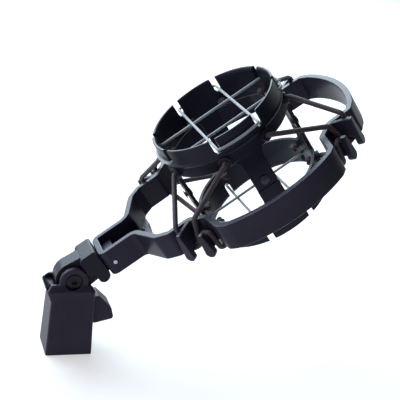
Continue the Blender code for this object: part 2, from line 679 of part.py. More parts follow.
def elastic_route(up: int, sx: int, sy: int) -> list:
    """The route of one suspension elastic: eye, over the wall's edge, round a hook's neck, next eye.

    The upper elastics pull up against hook one and the lower ones down against hook two.
    """
    bore = (RING_RADIUS - RING_WALL - 0.0024, RING_RADIUS + EYE_BOSS_PROUD + 0.0012)
    first, second = SLIT_ANGLE, math.pi / 2 - SLIT_ANGLE
    eye = up * EYE_HEIGHT
    edge = FRAME_MIDDLE + up * (FRAME_HEIGHT / 2 + ELASTIC_RADIUS + 0.0005)
    clear = ELASTIC_RADIUS + 0.0003
    if up > 0:
        turn, hold, crossings = HOOK_ONE_ANGLE, UPPER_HOLD, UPPER_CROSSINGS
        level = FRAME_MIDDLE - FRAME_HEIGHT / 2 + NECK_ONE_CUT - clear
    else:
        turn, hold, crossings = HOOK_TWO_ANGLE, LOWER_HOLD, LOWER_CROSSINGS
        level = FRAME_MIDDLE + FRAME_HEIGHT / 2 - HOOK_TWO_DROP - NECK_TWO_CUT + clear
    over = [(*polar(radius, math.radians(angle)), edge) for radius, angle in crossings]
    cosine, sine = math.cos(turn), math.sin(turn)
    round_neck = []
    rise = edge if up > 0 else level - 0.0030
    for (out, across), height in zip((hold[0], *hold), (rise, level, level, level)):
        round_neck.append((out * cosine - across * sine, out * sine + across * cosine, height))
    start = [(*polar(radius, first), eye) for radius in bore]
    finish = [(*polar(radius, second), eye) for radius in reversed(bore)]
    corners = [*start, *over[:-1], *round_neck, over[-1], *finish]
    return stretched([(sx * x, sy * y, z) for x, y, z in corners], ELASTIC_BEND)


def make_cords(cage, rubber, braid) -> None:
    corners = {"far_right": (1, 1), "far_left": (-1, 1), "near_left": (-1, -1), "near_right": (1, -1)}
    for level, up in (("upper", 1), ("lower", -1)):
        for place, (sx, sy) in corners.items():
            cord(f"{level}_elastic_{place}", elastic_route(up, sx, sy), ELASTIC_RADIUS, cage, rubber)
        for axis in "XY":
            name = f"{level}_grip_cord_{axis.lower()}"
            cord(name, grip_route(up, axis), GRIP_RADIUS, cage, braid, closed=True)


# --- assembly ---------------------------------------------------------------------------------


def main() -> None:
    clear_scene()
    plastic = material("moulded plastic", (0.022, 0.020, 0.026), 0.48)
    brass = material("insert brass", (0.55, 0.40, 0.18), 0.35, 1.0)
    steel = material("blackened steel", (0.08, 0.08, 0.09), 0.38, 1.0)
    nylon = material("nylon washer", (0.05, 0.05, 0.055), 0.55)
    rubber = material("elastic cord", (0.035, 0.028, 0.036), 0.62)
    braid = material("grip cord", (0.10, 0.11, 0.13), 0.55)

    tilt = link_object("tilt_axis", None)
    tilt.location = (0.0, 0.0, PIVOT_HEIGHT)
    tilt.rotation_euler = (0.0, -TILT, 0.0)
    cage = link_object("cage_axis", None, tilt)
    cage.location = (ARM_REACH, 0.0, CAGE_RISE)

    make_adapter(plastic, brass, steel, nylon)
    make_link(tilt, plastic, steel)
    make_frame(cage, tilt, plastic)
    make_basket("upper_basket", 1, cage, plastic)
    make_basket("lower_basket", -1, cage, plastic)
    make_rivets(cage, plastic)
    make_cords(cage, rubber, braid)


main()
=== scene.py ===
"""Looks of an elastic microphone mount: stand adapter, tilting frame, sprung basket and their cords.

Everything is in metres in the row frame: +Z up the stand's thread, +X towards the basket. The frame and
the basket are built square to the basket's own axis and then laid in place by `cage_place`.
"""

from __future__ import annotations

import json
import logging
import math
from dataclasses import dataclass, field
from enum import Enum
from typing import Iterable, Sequence

import bmesh
import bpy
from mathutils import Matrix, Vector

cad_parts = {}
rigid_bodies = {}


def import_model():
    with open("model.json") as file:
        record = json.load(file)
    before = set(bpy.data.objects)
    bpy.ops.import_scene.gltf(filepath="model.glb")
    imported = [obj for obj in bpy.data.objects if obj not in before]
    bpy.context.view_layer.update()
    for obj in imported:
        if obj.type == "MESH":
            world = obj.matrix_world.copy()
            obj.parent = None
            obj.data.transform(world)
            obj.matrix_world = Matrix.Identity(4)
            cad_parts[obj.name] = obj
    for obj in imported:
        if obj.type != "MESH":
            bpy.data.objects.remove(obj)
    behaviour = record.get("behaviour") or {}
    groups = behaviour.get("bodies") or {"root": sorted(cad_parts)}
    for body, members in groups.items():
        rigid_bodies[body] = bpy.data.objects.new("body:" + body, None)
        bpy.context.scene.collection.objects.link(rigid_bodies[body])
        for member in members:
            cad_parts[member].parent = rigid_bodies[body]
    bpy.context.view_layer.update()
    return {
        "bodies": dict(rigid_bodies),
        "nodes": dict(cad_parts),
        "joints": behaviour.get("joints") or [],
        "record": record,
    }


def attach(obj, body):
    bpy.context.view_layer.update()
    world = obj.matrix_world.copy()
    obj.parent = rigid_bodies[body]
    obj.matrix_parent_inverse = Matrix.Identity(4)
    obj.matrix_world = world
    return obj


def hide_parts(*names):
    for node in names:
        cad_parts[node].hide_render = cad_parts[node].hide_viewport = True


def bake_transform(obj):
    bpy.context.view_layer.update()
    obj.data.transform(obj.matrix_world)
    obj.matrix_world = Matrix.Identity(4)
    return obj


log = logging.getLogger("shock_mount")

Point = tuple[float, float]
Place = tuple[float, float, float]
Rgb = tuple[float, float, float]
Shape = bmesh.types.BMesh

TURN = 2 * math.pi
GAP = 0.0003
TILT = math.radians(38.4)
PIVOT_HEIGHT = 0.0435
ARM_REACH = 0.1148
CAGE_RISE = 0.00115
QUARTER = math.radians(90)
THROUGH = 0.02
STRAIGHT = math.radians(176)
SHARP_BEND = math.radians(150)
CREASE = math.radians(50)
FLAT_WITHIN = math.radians(0.6)
WELD = 1e-7
BOOLEAN_WELD = 2e-6
NO_AREA = 1e-13


class Body(Enum):
    """The moving bodies that pieces ride on."""

    ADAPTER = "adapter"
    FRAME = "frame"
    BASKET = "basket"


class Side(Enum):
    """Upper or lower half of the basket, with the sign of its height."""

    UPPER = 1
    LOWER = -1

    @property
    def word(self) -> str:
        """The side's name in lower case."""
        return self.name.lower()


class Corner(Enum):
    """The four pockets of the frame, with the signs of their X and Y."""

    FAR_RIGHT = (1, 1)
    FAR_LEFT = (-1, 1)
    NEAR_LEFT = (-1, -1)
    NEAR_RIGHT = (1, -1)

    @property
    def word(self) -> str:
        """The corner's name in lower case."""
        return self.name.lower()


def pivot_place() -> Matrix:
    """Where the fork's bolt crosses the adapter."""
    return Matrix.Translation((0.0, 0.0, PIVOT_HEIGHT))


def tilt_place() -> Matrix:
    """The leaning frame of the arm, X along it from the pivot."""
    return pivot_place() @ Matrix.Rotation(-TILT, 4, "Y")


def cage_place() -> Matrix:
    """The basket's own frame, Z along its axis."""
    return tilt_place() @ Matrix.Translation((ARM_REACH, 0.0, CAGE_RISE))


# --- outlines -----------------------------------------------------------------------------------


def polar(radius: float, angle: float) -> Point:
    """A point at a radius and an angle in radians."""
    return (radius * math.cos(angle), radius * math.sin(angle))


def arc(centre: Point, radius: float, start: float, end: float, steps: int) -> list[Point]:
    """Points on an arc.

    Args:
        centre: Middle of the arc.
        radius: Its radius.
        start: First angle in radians.
        end: Last angle in radians.
        steps: Number of spans.

    Returns:
        The points, both ends included.
    """
    points = [polar(radius, start + (end - start) * step / steps) for step in range(steps + 1)]
    return [(centre[0] + a, centre[1] + b) for a, b in points]


def circle(radius: float, steps: int, centre: Point = (0.0, 0.0)) -> list[Point]:
    """A closed circle's points."""
    return arc(centre, radius, 0.0, TURN, steps)[:-1]


def rectangle(low_a: float, high_a: float, low_b: float, high_b: float) -> list[Point]:
    """The corners of a rectangle, counter-clockwise."""
    return [(low_a, low_b), (high_a, low_b), (high_a, high_b), (low_a, high_b)]


def corner_arc(before: Vector, here: Vector, after: Vector, radius: float, steps: int) -> list[tuple]:
    """The arc that replaces a corner, in a plane or in space.

    Args:
        before: The point before the corner.
        here: The corner.
        after: The point after it.
        radius: Bend radius; zero keeps the corner.
        steps: Spans of the arc.

    Returns:
        The points of the arc, or the corner alone.
    """
    back, ahead = (before - here).normalized(), (after - here).normalized()
    opening = back.angle(ahead)
    if radius <= 0.0 or opening > STRAIGHT:
        return [tuple(here)]
    centre = here + (back + ahead).normalized() * (radius / math.sin(opening / 2))
    reach = radius / math.tan(opening / 2)
    first, last = here + back * reach - centre, here + ahead * reach - centre
    swing = math.pi - opening
    points = []
    for step in range(steps + 1):
        share = step / steps
        mixed = first * math.sin((1 - share) * swing) + last * math.sin(share * swing)
        points.append(tuple(centre + mixed / math.sin(swing)))
    return points


def rounded(corners: Sequence[Point], radii: Sequence[float], steps: int = 6) -> list[Point]:
    """A closed outline with each corner replaced by an arc of its own radius.

    Args:
        corners: The outline's corners in order.
        radii: One bend radius for each corner.
        steps: Spans of each arc.

    Returns:
        The rounded outline.
    """
    points: list[Point] = []
    for index, corner in enumerate(corners):
        after = corners[(index + 1) % len(corners)]
        points += corner_arc(Vector(corners[index - 1]), Vector(corner), Vector(after), radii[index], steps)
    return points


def section(width: float, height: float, radius: float) -> list[Point]:
    """A rectangle about zero with rounded corners, the cross-section of a moulded wall."""
    return rounded(rectangle(-width / 2, width / 2, -height / 2, height / 2), [radius] * 4, 3)


def stretched(corners: Sequence[Place], radius: float) -> list[Place]:
    """A taut cord's route: straight spans with a small bend at each sharp corner.

    Args:
        corners: The points that the cord is pulled over.
        radius: Bend radius at the sharp ones.

    Returns:
        The route's points.
    """
    points = [corners[0]]
    for before, here, after in zip(corners, corners[1:], corners[2:]):
        ways = Vector(before) - Vector(here), Vector(after) - Vector(here)
        bend = radius if ways[0].angle(ways[1]) < SHARP_BEND else 0.0
        points += corner_arc(Vector(before), Vector(here), Vector(after), bend, 5)
    return [*points, corners[-1]]


def resampled(route: Sequence[Place], spacing: float, closed: bool = False) -> list[Vector]:
    """The same route with its points about one spacing apart.

    Args:
        route: The points to follow.
        spacing: Wanted distance between points.
        closed: Whether the last point leads back to the first.

    Returns:
        The new points.
    """
    corners = [Vector(p) for p in route] + ([Vector(route[0])] if closed else [])
    lengths = [0.0]
    for here, there in zip(corners, corners[1:]):
        lengths.append(lengths[-1] + (there - here).length)
    count = max(8, round(lengths[-1] / spacing))
    points, leg = [], 0
    for step in range(count if closed else count + 1):
        target = lengths[-1] * step / count
        while leg < len(lengths) - 2 and lengths[leg + 1] < target:
            leg += 1
        span = max(lengths[leg + 1] - lengths[leg], 1e-9)
        points.append(corners[leg].lerp(corners[leg + 1], (target - lengths[leg]) / span))
    return points


def eased(line: Sequence[Vector]) -> list[Vector]:
    """The route with each inner point drawn halfway to the middle of its neighbours."""
    spans = zip(line, line[1:], line[2:])
    return [line[0], *(here * 0.5 + (back + ahead) * 0.25 for back, here, ahead in spans), line[-1]]


def mitre(line: Sequence[Point], index: int) -> tuple[Vector, float]:
    """The way along a closed line at one of its points, and the cosine of half its turn there."""
    here = Vector(line[index])
    before = (here - Vector(line[index - 1])).normalized()
    after = (Vector(line[(index + 1) % len(line)]) - here).normalized()
    along = (before + after).normalized()
    return along, along.dot(after)


# --- solids -------------------------------------------------------------------------------------


def stacked(rows: Sequence[Sequence[Place]], closed: bool = False) -> Shape:
    """A closed solid through rows of points, with a face over each end unless the rows form a loop.

    Args:
        rows: Cross-sections with the same number of points.
        closed: Whether the last row joins the first.

    Returns:
        The solid.
    """
    shape = bmesh.new()
    made = [[shape.verts.new(p) for p in row] for row in rows]
    pairs = zip(made, made[1:] + made[:1]) if closed else zip(made, made[1:])
    for here, there in pairs:
        for index in range(len(here)):
            after = (index + 1) % len(here)
            shape.faces.new((here[index], here[after], there[after], there[index]))
    if not closed:
        shape.faces.new(made[0])
        shape.faces.new(made[-1])
    bmesh.ops.recalc_face_normals(shape, faces=shape.faces)
    return shape


def prism(outline: Sequence[Point], low: float, high: float, axis: str = "Z") -> Shape:
    """An outline drawn across an axis and pushed from low to high along it."""
    place = {
        "Z": lambda a, b, c: (a, b, c),
        "Y": lambda a, b, c: (a, c, b),
        "X": lambda a, b, c: (c, a, b),
    }[axis]
    return stacked([[place(a, b, c) for a, b in outline] for c in (low, high)])


def turned(profile: Sequence[Point], steps: int, axis: str = "Z") -> Shape:
    """A closed profile of (radius, distance along the axis) points turned once about the axis.

    Args:
        profile: The points; where two of them have a radius of zero, they close the ends.
        steps: Spans round the turn.
        axis: Z or Y.

    Returns:
        The turned solid.
    """
    rows = []
    for step in range(steps):
        across = [(*polar(max(r, 0.0), TURN * step / steps), h) for r, h in profile]
        rows.append([(x, h, y) if axis == "Y" else (x, y, h) for x, y, h in across])
    shape = stacked(rows, closed=True)
    bmesh.ops.remove_doubles(shape, verts=shape.verts, dist=WELD)
    flat = [f for f in shape.faces if f.calc_area() < NO_AREA]
    bmesh.ops.delete(shape, geom=flat, context="FACES_ONLY")
    bmesh.ops.recalc_face_normals(shape, faces=shape.faces)
    return shape


def swept(line: Sequence[Point], profile: Sequence[Point], middle: float) -> Shape:
    """A wall of one section that follows a closed line in the XY plane.

    Args:
        line: The wall's middle line.
        profile: Section points as (across, up).
        middle: Height of the section's middle.

    Returns:
        The wall as one closed ring.
    """
    rows = []
    for index, point in enumerate(line):
        along, narrowing = mitre(line, index)
        across = Vector((along.y, -along.x)) / max(0.5, narrowing)
        rows.append([(*(Vector(point) + across * a), middle + b) for a, b in profile])
    return stacked(rows, closed=True)


def softened(outline: Sequence[Point], low: float, high: float, radius: float) -> Shape:
    """A convex outline pushed along Z whose ends draw in by a rounded edge.

    Args:
        outline: Convex points in the XY plane.
        low: Bottom height.
        high: Top height.
        radius: Radius of the rounding at both ends.

    Returns:
        The solid.
    """
    levels, steps = [], 3
    for step in range(steps + 1):
        swing = math.pi / 2 * step / steps
        levels.append((radius * (1 - math.sin(swing)), low + radius * (1 - math.cos(swing))))
    levels += [(inset, low + high - height) for inset, height in reversed(levels)]
    rows = []
    for inset, height in levels:
        row = []
        for index, point in enumerate(outline):
            along, narrowing = mitre(outline, index)
            here, inward = Vector(point), Vector((-along.y, along.x)) * (inset / max(0.4, narrowing))
            row.append((here.x + inward.x, here.y + inward.y, height))
        rows.append(row)
    return stacked(rows)


def moved(shape: Shape, place: Matrix) -> Shape:
    """The same shape after a transform, with its faces still looking outwards."""
    bmesh.ops.transform(shape, matrix=place, verts=shape.verts)
    if place.determinant() < 0:
        bmesh.ops.reverse_faces(shape, faces=shape.faces)
    return shape


def mesh_of(name: str, shape: Shape) -> bpy.types.Mesh:
    """A mesh made from a shape, which is then let go."""
    data = bpy.data.meshes.new(name)
    shape.to_mesh(data)
    shape.free()
    return data


def together(shapes: Iterable[Shape]) -> Shape:
    """Several separate solids held in one mesh."""
    whole = bmesh.new()
    for shape in shapes:
        data = mesh_of("part", shape)
        whole.from_mesh(data)
        bpy.data.meshes.remove(data)
    return whole


def linked(name: str, data: bpy.types.ID) -> bpy.types.Object:
    """A mesh, light or camera put in the scene as an object."""
    made = bpy.data.objects.new(name, data)
    bpy.context.scene.collection.objects.link(made)
    return made


@dataclass
class Blank:
    """A solid that is joined to others, cut by others and then softened along its sharp edges."""

    name: str
    shape: Shape
    steps: list[tuple[str, Shape]] = field(default_factory=list)

    def join(self, *others: Shape) -> "Blank":
        """Adds solids."""
        self.steps += [("UNION", other) for other in others]
        return self

    def cut(self, *others: Shape) -> "Blank":
        """Takes solids away."""
        self.steps += [("DIFFERENCE", other) for other in others]
        return self

    def finish(self, edge: float = 0.0, sharper_than: float = 40.0) -> bpy.types.Mesh:
        """Works every step and rounds the edges that are left sharp.

        Args:
            edge: Width of the rounding; zero leaves the edges alone.
            sharper_than: Only edges that turn by more degrees than this are rounded.

        Returns:
            The finished mesh, smooth-shaded with flat faces kept flat.
        """
        target = linked("blank", mesh_of("blank", self.shape))
        tools = []
        for operation, shape in self.steps:
            tool = linked("blank", mesh_of("blank", shape))
            tools.append(tool)
            step = target.modifiers.new("work", "BOOLEAN")
            step.operation, step.solver, step.object = operation, "EXACT", tool
        self._bake(target)
        shape = bmesh.new()
        shape.from_mesh(target.data)
        bmesh.ops.remove_doubles(shape, verts=shape.verts, dist=BOOLEAN_WELD)
        bmesh.ops.dissolve_limit(shape, angle_limit=FLAT_WITHIN, verts=shape.verts, edges=shape.edges)
        shape.to_mesh(target.data)
        shape.free()
        if edge > 0.0:
            step = target.modifiers.new("edges", "BEVEL")
            step.width, step.segments = edge, 2
            step.limit_method, step.angle_limit = "ANGLE", math.radians(sharper_than)
            step.use_clamp_overlap, step.miter_outer = False, "MITER_ARC"
        self._shade(target)
        data = target.data
        data.name = self.name
        for spare in (target, *tools):
            bpy.data.objects.remove(spare, do_unlink=True)
        return data

    @staticmethod
    def _bake(target: bpy.types.Object) -> None:
        """Applies the object's modifiers to its mesh."""
        graph = bpy.context.evaluated_depsgraph_get()
        data = bpy.data.meshes.new_from_object(target.evaluated_get(graph))
        target.modifiers.clear()
        target.data = data

    def _shade(self, target: bpy.types.Object) -> None:
        """Smooth shading that keeps flat faces flat and hard creases crisp."""
        self._bake(target)
        target.data.shade_smooth()
        target.data.set_sharp_from_angle(angle=CREASE)
        step = target.modifiers.new("flats", "WEIGHTED_NORMAL")
        step.keep_sharp, step.weight = True, 60
        self._bake(target)


def tube(
    route: Sequence[Vector], radius: float, sides: int, closed: bool = False, twist: float = 0.0
) -> Shape:
    """A round cord with domed ends and a UV map: U round it, V along it in cord diameters.

    Args:
        route: Points of the middle line.
        radius: The cord's radius.
        sides: Points round the section.
        closed: Whether the route is a loop.
        twist: Turns of the section along the whole route.

    Returns:
        The cord as one closed solid.
    """
    shape = bmesh.new()
    layer = shape.loops.layers.uv.new("weave")
    count = len(route)
    ways = []
    for index in range(count):
        ahead = route[(index + 1) % count] if closed or index < count - 1 else route[index]
        back = route[index - 1] if closed or index > 0 else route[index]
        ways.append((ahead - back).normalized())
    across = ways[0].orthogonal().normalized()
    frames = []
    for way in ways:
        across = (across - way * across.dot(way)).normalized()
        frames.append((across, way.cross(across)))
    drift = 0.0
    if closed:
        last = (frames[-1][0] - ways[0] * frames[-1][0].dot(ways[0])).normalized()
        drift = math.atan2(last.dot(frames[0][1]), last.dot(frames[0][0]))
    rings, lengths, run = [], [], 0.0
    for index, (point, (one, two)) in enumerate(zip(route, frames)):
        share = index / count
        extra = TURN * twist * share - drift * share
        ring = []
        for side in range(sides):
            angle = TURN * side / sides + extra
            ring.append(shape.verts.new(point + (one * math.cos(angle) + two * math.sin(angle)) * radius))
        rings.append(ring)
        lengths.append(run)
        run += (route[(index + 1) % count] - point).length / (2 * radius)
    spans = list(zip(range(count), range(1, count))) + ([(count - 1, 0)] if closed else [])
    for here, there in spans:
        high = lengths[there] if there else run
        for side in range(sides):
            after = (side + 1) % sides
            (one, two), (four, three) = ((rings[row][side], rings[row][after]) for row in (here, there))
            face = shape.faces.new((one, two, three, four))
            corners = ((side, lengths[here]), (side + 1, lengths[here]), (side + 1, high), (side, high))
            for loop, (turn, along) in zip(face.loops, corners):
                loop[layer].uv = (turn / sides, along)
            face.smooth = True
    if not closed:
        for ring, way, point in ((rings[0], -ways[0], route[0]), (rings[-1], ways[-1], route[-1])):
            tip = shape.verts.new(point + way * radius * 0.5)
            for side in range(sides):
                shape.faces.new((ring[side], ring[(side + 1) % sides], tip)).smooth = True
    bmesh.ops.recalc_face_normals(shape, faces=shape.faces)
    return shape


def knot_route(middle: Vector, way: Vector, size: float, steps: int = 54) -> list[Vector]:
    """The line of a tight overhand knot.

    Args:
        middle: Where the knot sits.
        way: Direction of the cord through it.
        size: A third of the knot's radius.
        steps: Points round it.

    Returns:
        A closed line of points.
    """
    turn = way.to_track_quat("Z", "Y").to_matrix()
    points = []
    for step in range(steps):
        t = TURN * step / steps
        across, up = math.sin(t) + 2 * math.sin(2 * t), math.cos(t) - 2 * math.cos(2 * t)
        points.append(middle + turn @ Vector((across, up, -1.5 * math.sin(3 * t))) * size)
    return points


def shown(name: str, data: bpy.types.Mesh, finish: bpy.types.Material) -> bpy.types.Object:
    """Links a finished mesh as a piece with its one finish."""
    data.materials.clear()
    data.materials.append(finish)
    return linked(name, data)


def dressed(
    name: str, data: bpy.types.Mesh, finish: bpy.types.Material, node: str
) -> bpy.types.Object:
    """Shows a piece that stands in for one CAD node, and logs it.

    Args:
        name: The piece's name.
        data: Its mesh.
        finish: Its material.
        node: The node that it replaces.

    Returns:
        The piece, still to be given its body.
    """
    piece = shown(name, data, finish)
    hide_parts(node)
    log.info("built %s", name)
    return piece


# --- shader maths -------------------------------------------------------------------------------


class Wire:
    """A shader socket that can be used in Python sums."""

    def __init__(self, bench: "Bench", socket: bpy.types.NodeSocket) -> None:
        """Keeps the socket and the bench that new nodes go on."""
        self.bench = bench
        self.socket = socket

    def _sum(self, operation: str, *values: "Wire | float", clamp: bool = False) -> "Wire":
        """One Math node over these values."""
        settings = {"operation": operation, "use_clamp": clamp}
        return self.bench.node("ShaderNodeMath", settings, dict(enumerate(values)))

    def __add__(self, other: "Wire | float") -> "Wire":
        """Sum."""
        return self._sum("ADD", self, other)

    __radd__ = __add__

    def __sub__(self, other: "Wire | float") -> "Wire":
        """Difference."""
        return self._sum("SUBTRACT", self, other)

    def __rsub__(self, other: float) -> "Wire":
        """Difference with the number first."""
        return self._sum("SUBTRACT", other, self)

    def __mul__(self, other: "Wire | float") -> "Wire":
        """Product."""
        return self._sum("MULTIPLY", self, other)

    __rmul__ = __mul__

    def power(self, exponent: float) -> "Wire":
        """This value to a power."""
        return self._sum("POWER", self, exponent)

    def sine(self) -> "Wire":
        """Sine of this value in radians."""
        return self._sum("SINE", self)

    def size(self) -> "Wire":
        """This value without its sign."""
        return self._sum("ABSOLUTE", self)

    def held(self) -> "Wire":
        """This value kept between 0 and 1."""
        return self._sum("ADD", self, 0.0, clamp=True)

    def fitted(self, low: float, high: float) -> "Wire":
        """Zero below low, one above high, and a smooth step between them."""
        settings = {"interpolation_type": "SMOOTHSTEP", "clamp": True}
        values = {"Value": self, "From Min": low, "From Max": high}
        return self.bench.node("ShaderNodeMapRange", settings, values)


class Bench:
    """Builds one material's node tree."""

    def __init__(self, name: str) -> None:
        """Starts a material with an empty tree."""
        self.material = bpy.data.materials.new(name)
        self.material.use_nodes = True
        self.tree = self.material.node_tree
        self.tree.nodes.clear()

    def node(
        self, kind: str, settings: dict | None = None, values: dict | None = None, out: int | str = 0
    ) -> Wire:
        """Adds one node.

        Args:
            kind: The node's type.
            settings: Its properties, set first.
            values: Its sockets by name or number, each a number, a colour or a wire.
            out: The output wanted.

        Returns:
            The output as a wire.
        """
        made = self.tree.nodes.new(kind)
        for key, value in (settings or {}).items():
            setattr(made, key, value)
        for key, value in (values or {}).items():
            if isinstance(value, Wire):
                self.tree.links.new(value.socket, made.inputs[key])
            else:
                made.inputs[key].default_value = value
        return Wire(self, made.outputs[out])

    def mix(self, factor: "Wire | float", first: "Wire | tuple", second: "Wire | tuple") -> Wire:
        """A Mix node on colours."""
        values = {0: factor, 6: coloured(first), 7: coloured(second)}
        return self.node("ShaderNodeMix", {"data_type": "RGBA", "blend_type": "MIX"}, values, out=2)

    def where(self) -> Wire:
        """Object coordinates in metres."""
        return self.node("ShaderNodeTexCoord", out="Object")

    def noise(self, scale: float, detail: float = 2.0, rough: float = 0.5) -> Wire:
        """Noise at so many cells a metre."""
        values = {"Vector": self.where(), "Scale": scale, "Detail": detail, "Roughness": rough}
        return self.node("ShaderNodeTexNoise", {}, values)

    def cells(self, scale: float) -> Wire:
        """Distance to the nearest cell middle at so many cells a metre."""
        return self.node("ShaderNodeTexVoronoi", {}, {"Vector": self.where(), "Scale": scale})

    def facing_up(self) -> Wire:
        """How far the surface faces up, from -1 to 1."""
        normal = self.node("ShaderNodeNewGeometry", out="Normal")
        return self.node("ShaderNodeSeparateXYZ", {}, {0: normal}, out="Z")

    def edges(self, radius: float) -> Wire:
        """One on edges and in creases within this radius, zero on flats."""
        soft = self.node("ShaderNodeBevel", {"samples": 4}, {"Radius": radius})
        true = self.node("ShaderNodeNewGeometry", out="Normal")
        values = {0: soft, 1: true}
        alike = self.node("ShaderNodeVectorMath", {"operation": "DOT_PRODUCT"}, values, out="Value")
        return (1.0 - alike).fitted(0.004, 0.16)

    def bump(self, height: Wire, depth: float) -> Wire:
        """A bump of this many metres."""
        return self.node("ShaderNodeBump", {}, {"Height": height, "Distance": depth, "Strength": 1.0})

    def surface(self, varying: dict, fixed: dict) -> bpy.types.Material:
        """Ends the tree in one shader.

        Args:
            varying: Sockets that change over the surface.
            fixed: Sockets that are the same all over.

        Returns:
            The finished material.
        """
        shader = self.node("ShaderNodeBsdfPrincipled", {}, {**fixed, **varying}, out="BSDF")
        end = self.tree.nodes.new("ShaderNodeOutputMaterial")
        self.tree.links.new(shader.socket, end.inputs["Surface"])
        return self.material


def coloured(value: "Wire | tuple") -> "Wire | tuple":
    """A colour with its fourth number, or the wire itself."""
    return value if isinstance(value, Wire) or len(value) == 4 else (*value, 1.0)


def lighter(colour: Rgb, times: float) -> Rgb:
    """A colour made so many times as bright."""
    return tuple(c * times for c in colour)


@dataclass(frozen=True)
class MouldedPlastic:
    """Black injection-moulded plastic: fine eroded grain, faint flow clouds, edges and creases lightened
    partly by wear and partly by a painted highlight, and dust on top.
    """

    name: str
    colour: Rgb
    # Lighter colour for edges and creases: the tone of rubbed wear together with a painted highlight along
    # the edges.
    rubbed: Rgb
    roughness: float
    grain: float = 2600.0
    depth: float = 0.00002
    edge: float = 0.0007
    dust: Rgb = (0.30, 0.30, 0.32)
    specular: float = 0.20
    tint: Rgb = (0.82, 0.79, 1.0)
    ior: float = 1.47

    def made(self) -> bpy.types.Material:
        """Builds the material."""
        bench = Bench(self.name)
        clouds = bench.noise(42.0, 3.0)
        grain = bench.noise(self.grain, 3.0, 0.6)
        pits = bench.cells(self.grain * 0.6)
        # Edge mask over edges and creases alike: partly rubbed wear, partly a painted highlight along the
        # edges.
        wear_and_highlight = bench.edges(self.edge) * bench.noise(210.0, 4.0, 0.7).fitted(0.30, 0.72)
        scuffs = bench.noise(330.0, 5.0, 0.75).fitted(0.62, 0.78)
        dust = bench.facing_up().fitted(0.35, 1.0) * bench.noise(900.0, 4.0, 0.7).fitted(0.55, 0.75)
        lively = bench.mix(clouds.fitted(0.3, 0.7), self.colour, lighter(self.colour, 1.45))
        speckled = bench.mix(grain.fitted(0.45, 0.75) * 0.5, lively, lighter(self.colour, 1.9))
        # Mixes the edge colour into the base: edge wear plus a painted edge highlight.
        rubbed = bench.mix(wear_and_highlight * 0.75, speckled, self.rubbed)
        base = bench.mix(dust * 0.12, rubbed, self.dust)
        rough = (self.roughness + (grain - 0.5) * 0.16 + dust * 0.12 - wear_and_highlight * 0.08 + scuffs * 0.07).held()
        normal = bench.bump(grain * 0.6 + pits * 0.4, self.depth)
        return bench.surface(
            {"Base Color": base, "Roughness": rough, "Normal": normal},
            {"Specular IOR Level": self.specular, "Specular Tint": (*self.tint, 1.0), "IOR": self.ior},
        )


@dataclass(frozen=True)
class WovenElastic:
    """A braided cover over a rubber core; the weave follows the cord's own map."""

    name: str
    dark: Rgb
    # Colour of the raised strands: the strands' own tone together with a painted highlight.
    light: Rgb
    strands: float = 7.0
    pitch: float = 2.4
    depth: float = 0.00012
    roughness: float = 0.62
    sheen: float = 0.25

    def made(self) -> bpy.types.Material:
        """Builds the material."""
        bench = Bench(self.name)
        place = bench.node("ShaderNodeUVMap", {"uv_map": "weave"})
        split = bench.node("ShaderNodeSeparateXYZ", {}, {0: place}, out="X")
        along = bench.node("ShaderNodeSeparateXYZ", {}, {0: place}, out="Y")
        round_it, along_it = split * (self.strands * TURN / 2), along * (self.pitch * TURN / 2)
        one, two = (round_it + along_it).sine(), (round_it - along_it).sine()
        weave = one.size().power(0.6) * two.size().power(0.6)
        over = (one * two).fitted(-0.3, 0.3)
        fuzz = bench.noise(3800.0, 3.0, 0.7)
        soil = bench.noise(160.0, 3.0).fitted(0.40, 0.72)
        # Raised strands painted lighter and the grooves between them darker (painted shade and highlight in
        # the weave), mixed with the two-tone over-and-under pattern.
        thread = bench.mix(over * 0.5 + weave * 0.5, self.dark, self.light)
        base = bench.mix(soil * 0.35, thread, lighter(self.dark, 0.5))
        normal = bench.bump(weave * 0.8 + fuzz * 0.25, self.depth)
        rough = (self.roughness + (fuzz - 0.5) * 0.3 + weave * 0.08).held()
        return bench.surface(
            {"Base Color": base, "Roughness": rough, "Normal": normal},
            {"Sheen Weight": self.sheen, "Sheen Roughness": 0.4, "Specular IOR Level": 0.45},
        )


@dataclass(frozen=True)
class WorkedMetal:
    """Turned or pressed metal: fine tool lines round the part, with stains in the surface."""

    name: str
    colour: Rgb
    stain: Rgb
    roughness: float
    metallic: float = 1.0
    lines: float = 5200.0
    depth: float = 0.000012

    def made(self) -> bpy.types.Material:
        """Builds the material."""
        bench = Bench(self.name)
        settings = {"wave_type": "RINGS", "rings_direction": "Z", "wave_profile": "SIN"}
        values = {"Vector": bench.where(), "Scale": self.lines / 20, "Distortion": 1.5, "Detail": 2.0}
        rings = bench.node("ShaderNodeTexWave", settings, values, out=1)
        blotch = bench.noise(260.0, 4.0, 0.65).fitted(0.42, 0.70)
        specks = bench.noise(2300.0, 3.0, 0.7).fitted(0.55, 0.8)
        # Edges and creases alike are painted lighter: edge wear and a painted highlight.
        wear_and_highlight = bench.edges(0.0004)
        base = bench.mix(blotch * 0.7, self.colour, self.stain)
        base = bench.mix(wear_and_highlight * 0.5, base, tuple(min(1.0, c) for c in lighter(self.colour, 1.8)))
        rough = (self.roughness + blotch * 0.14 + specks * 0.10 + (rings - 0.5) * 0.10).held()
        normal = bench.bump(rings * 0.7 + specks * 0.3, self.depth)
        varying = {"Base Color": base, "Roughness": rough, "Normal": normal}
        return bench.surface(varying, {"Metallic": self.metallic})


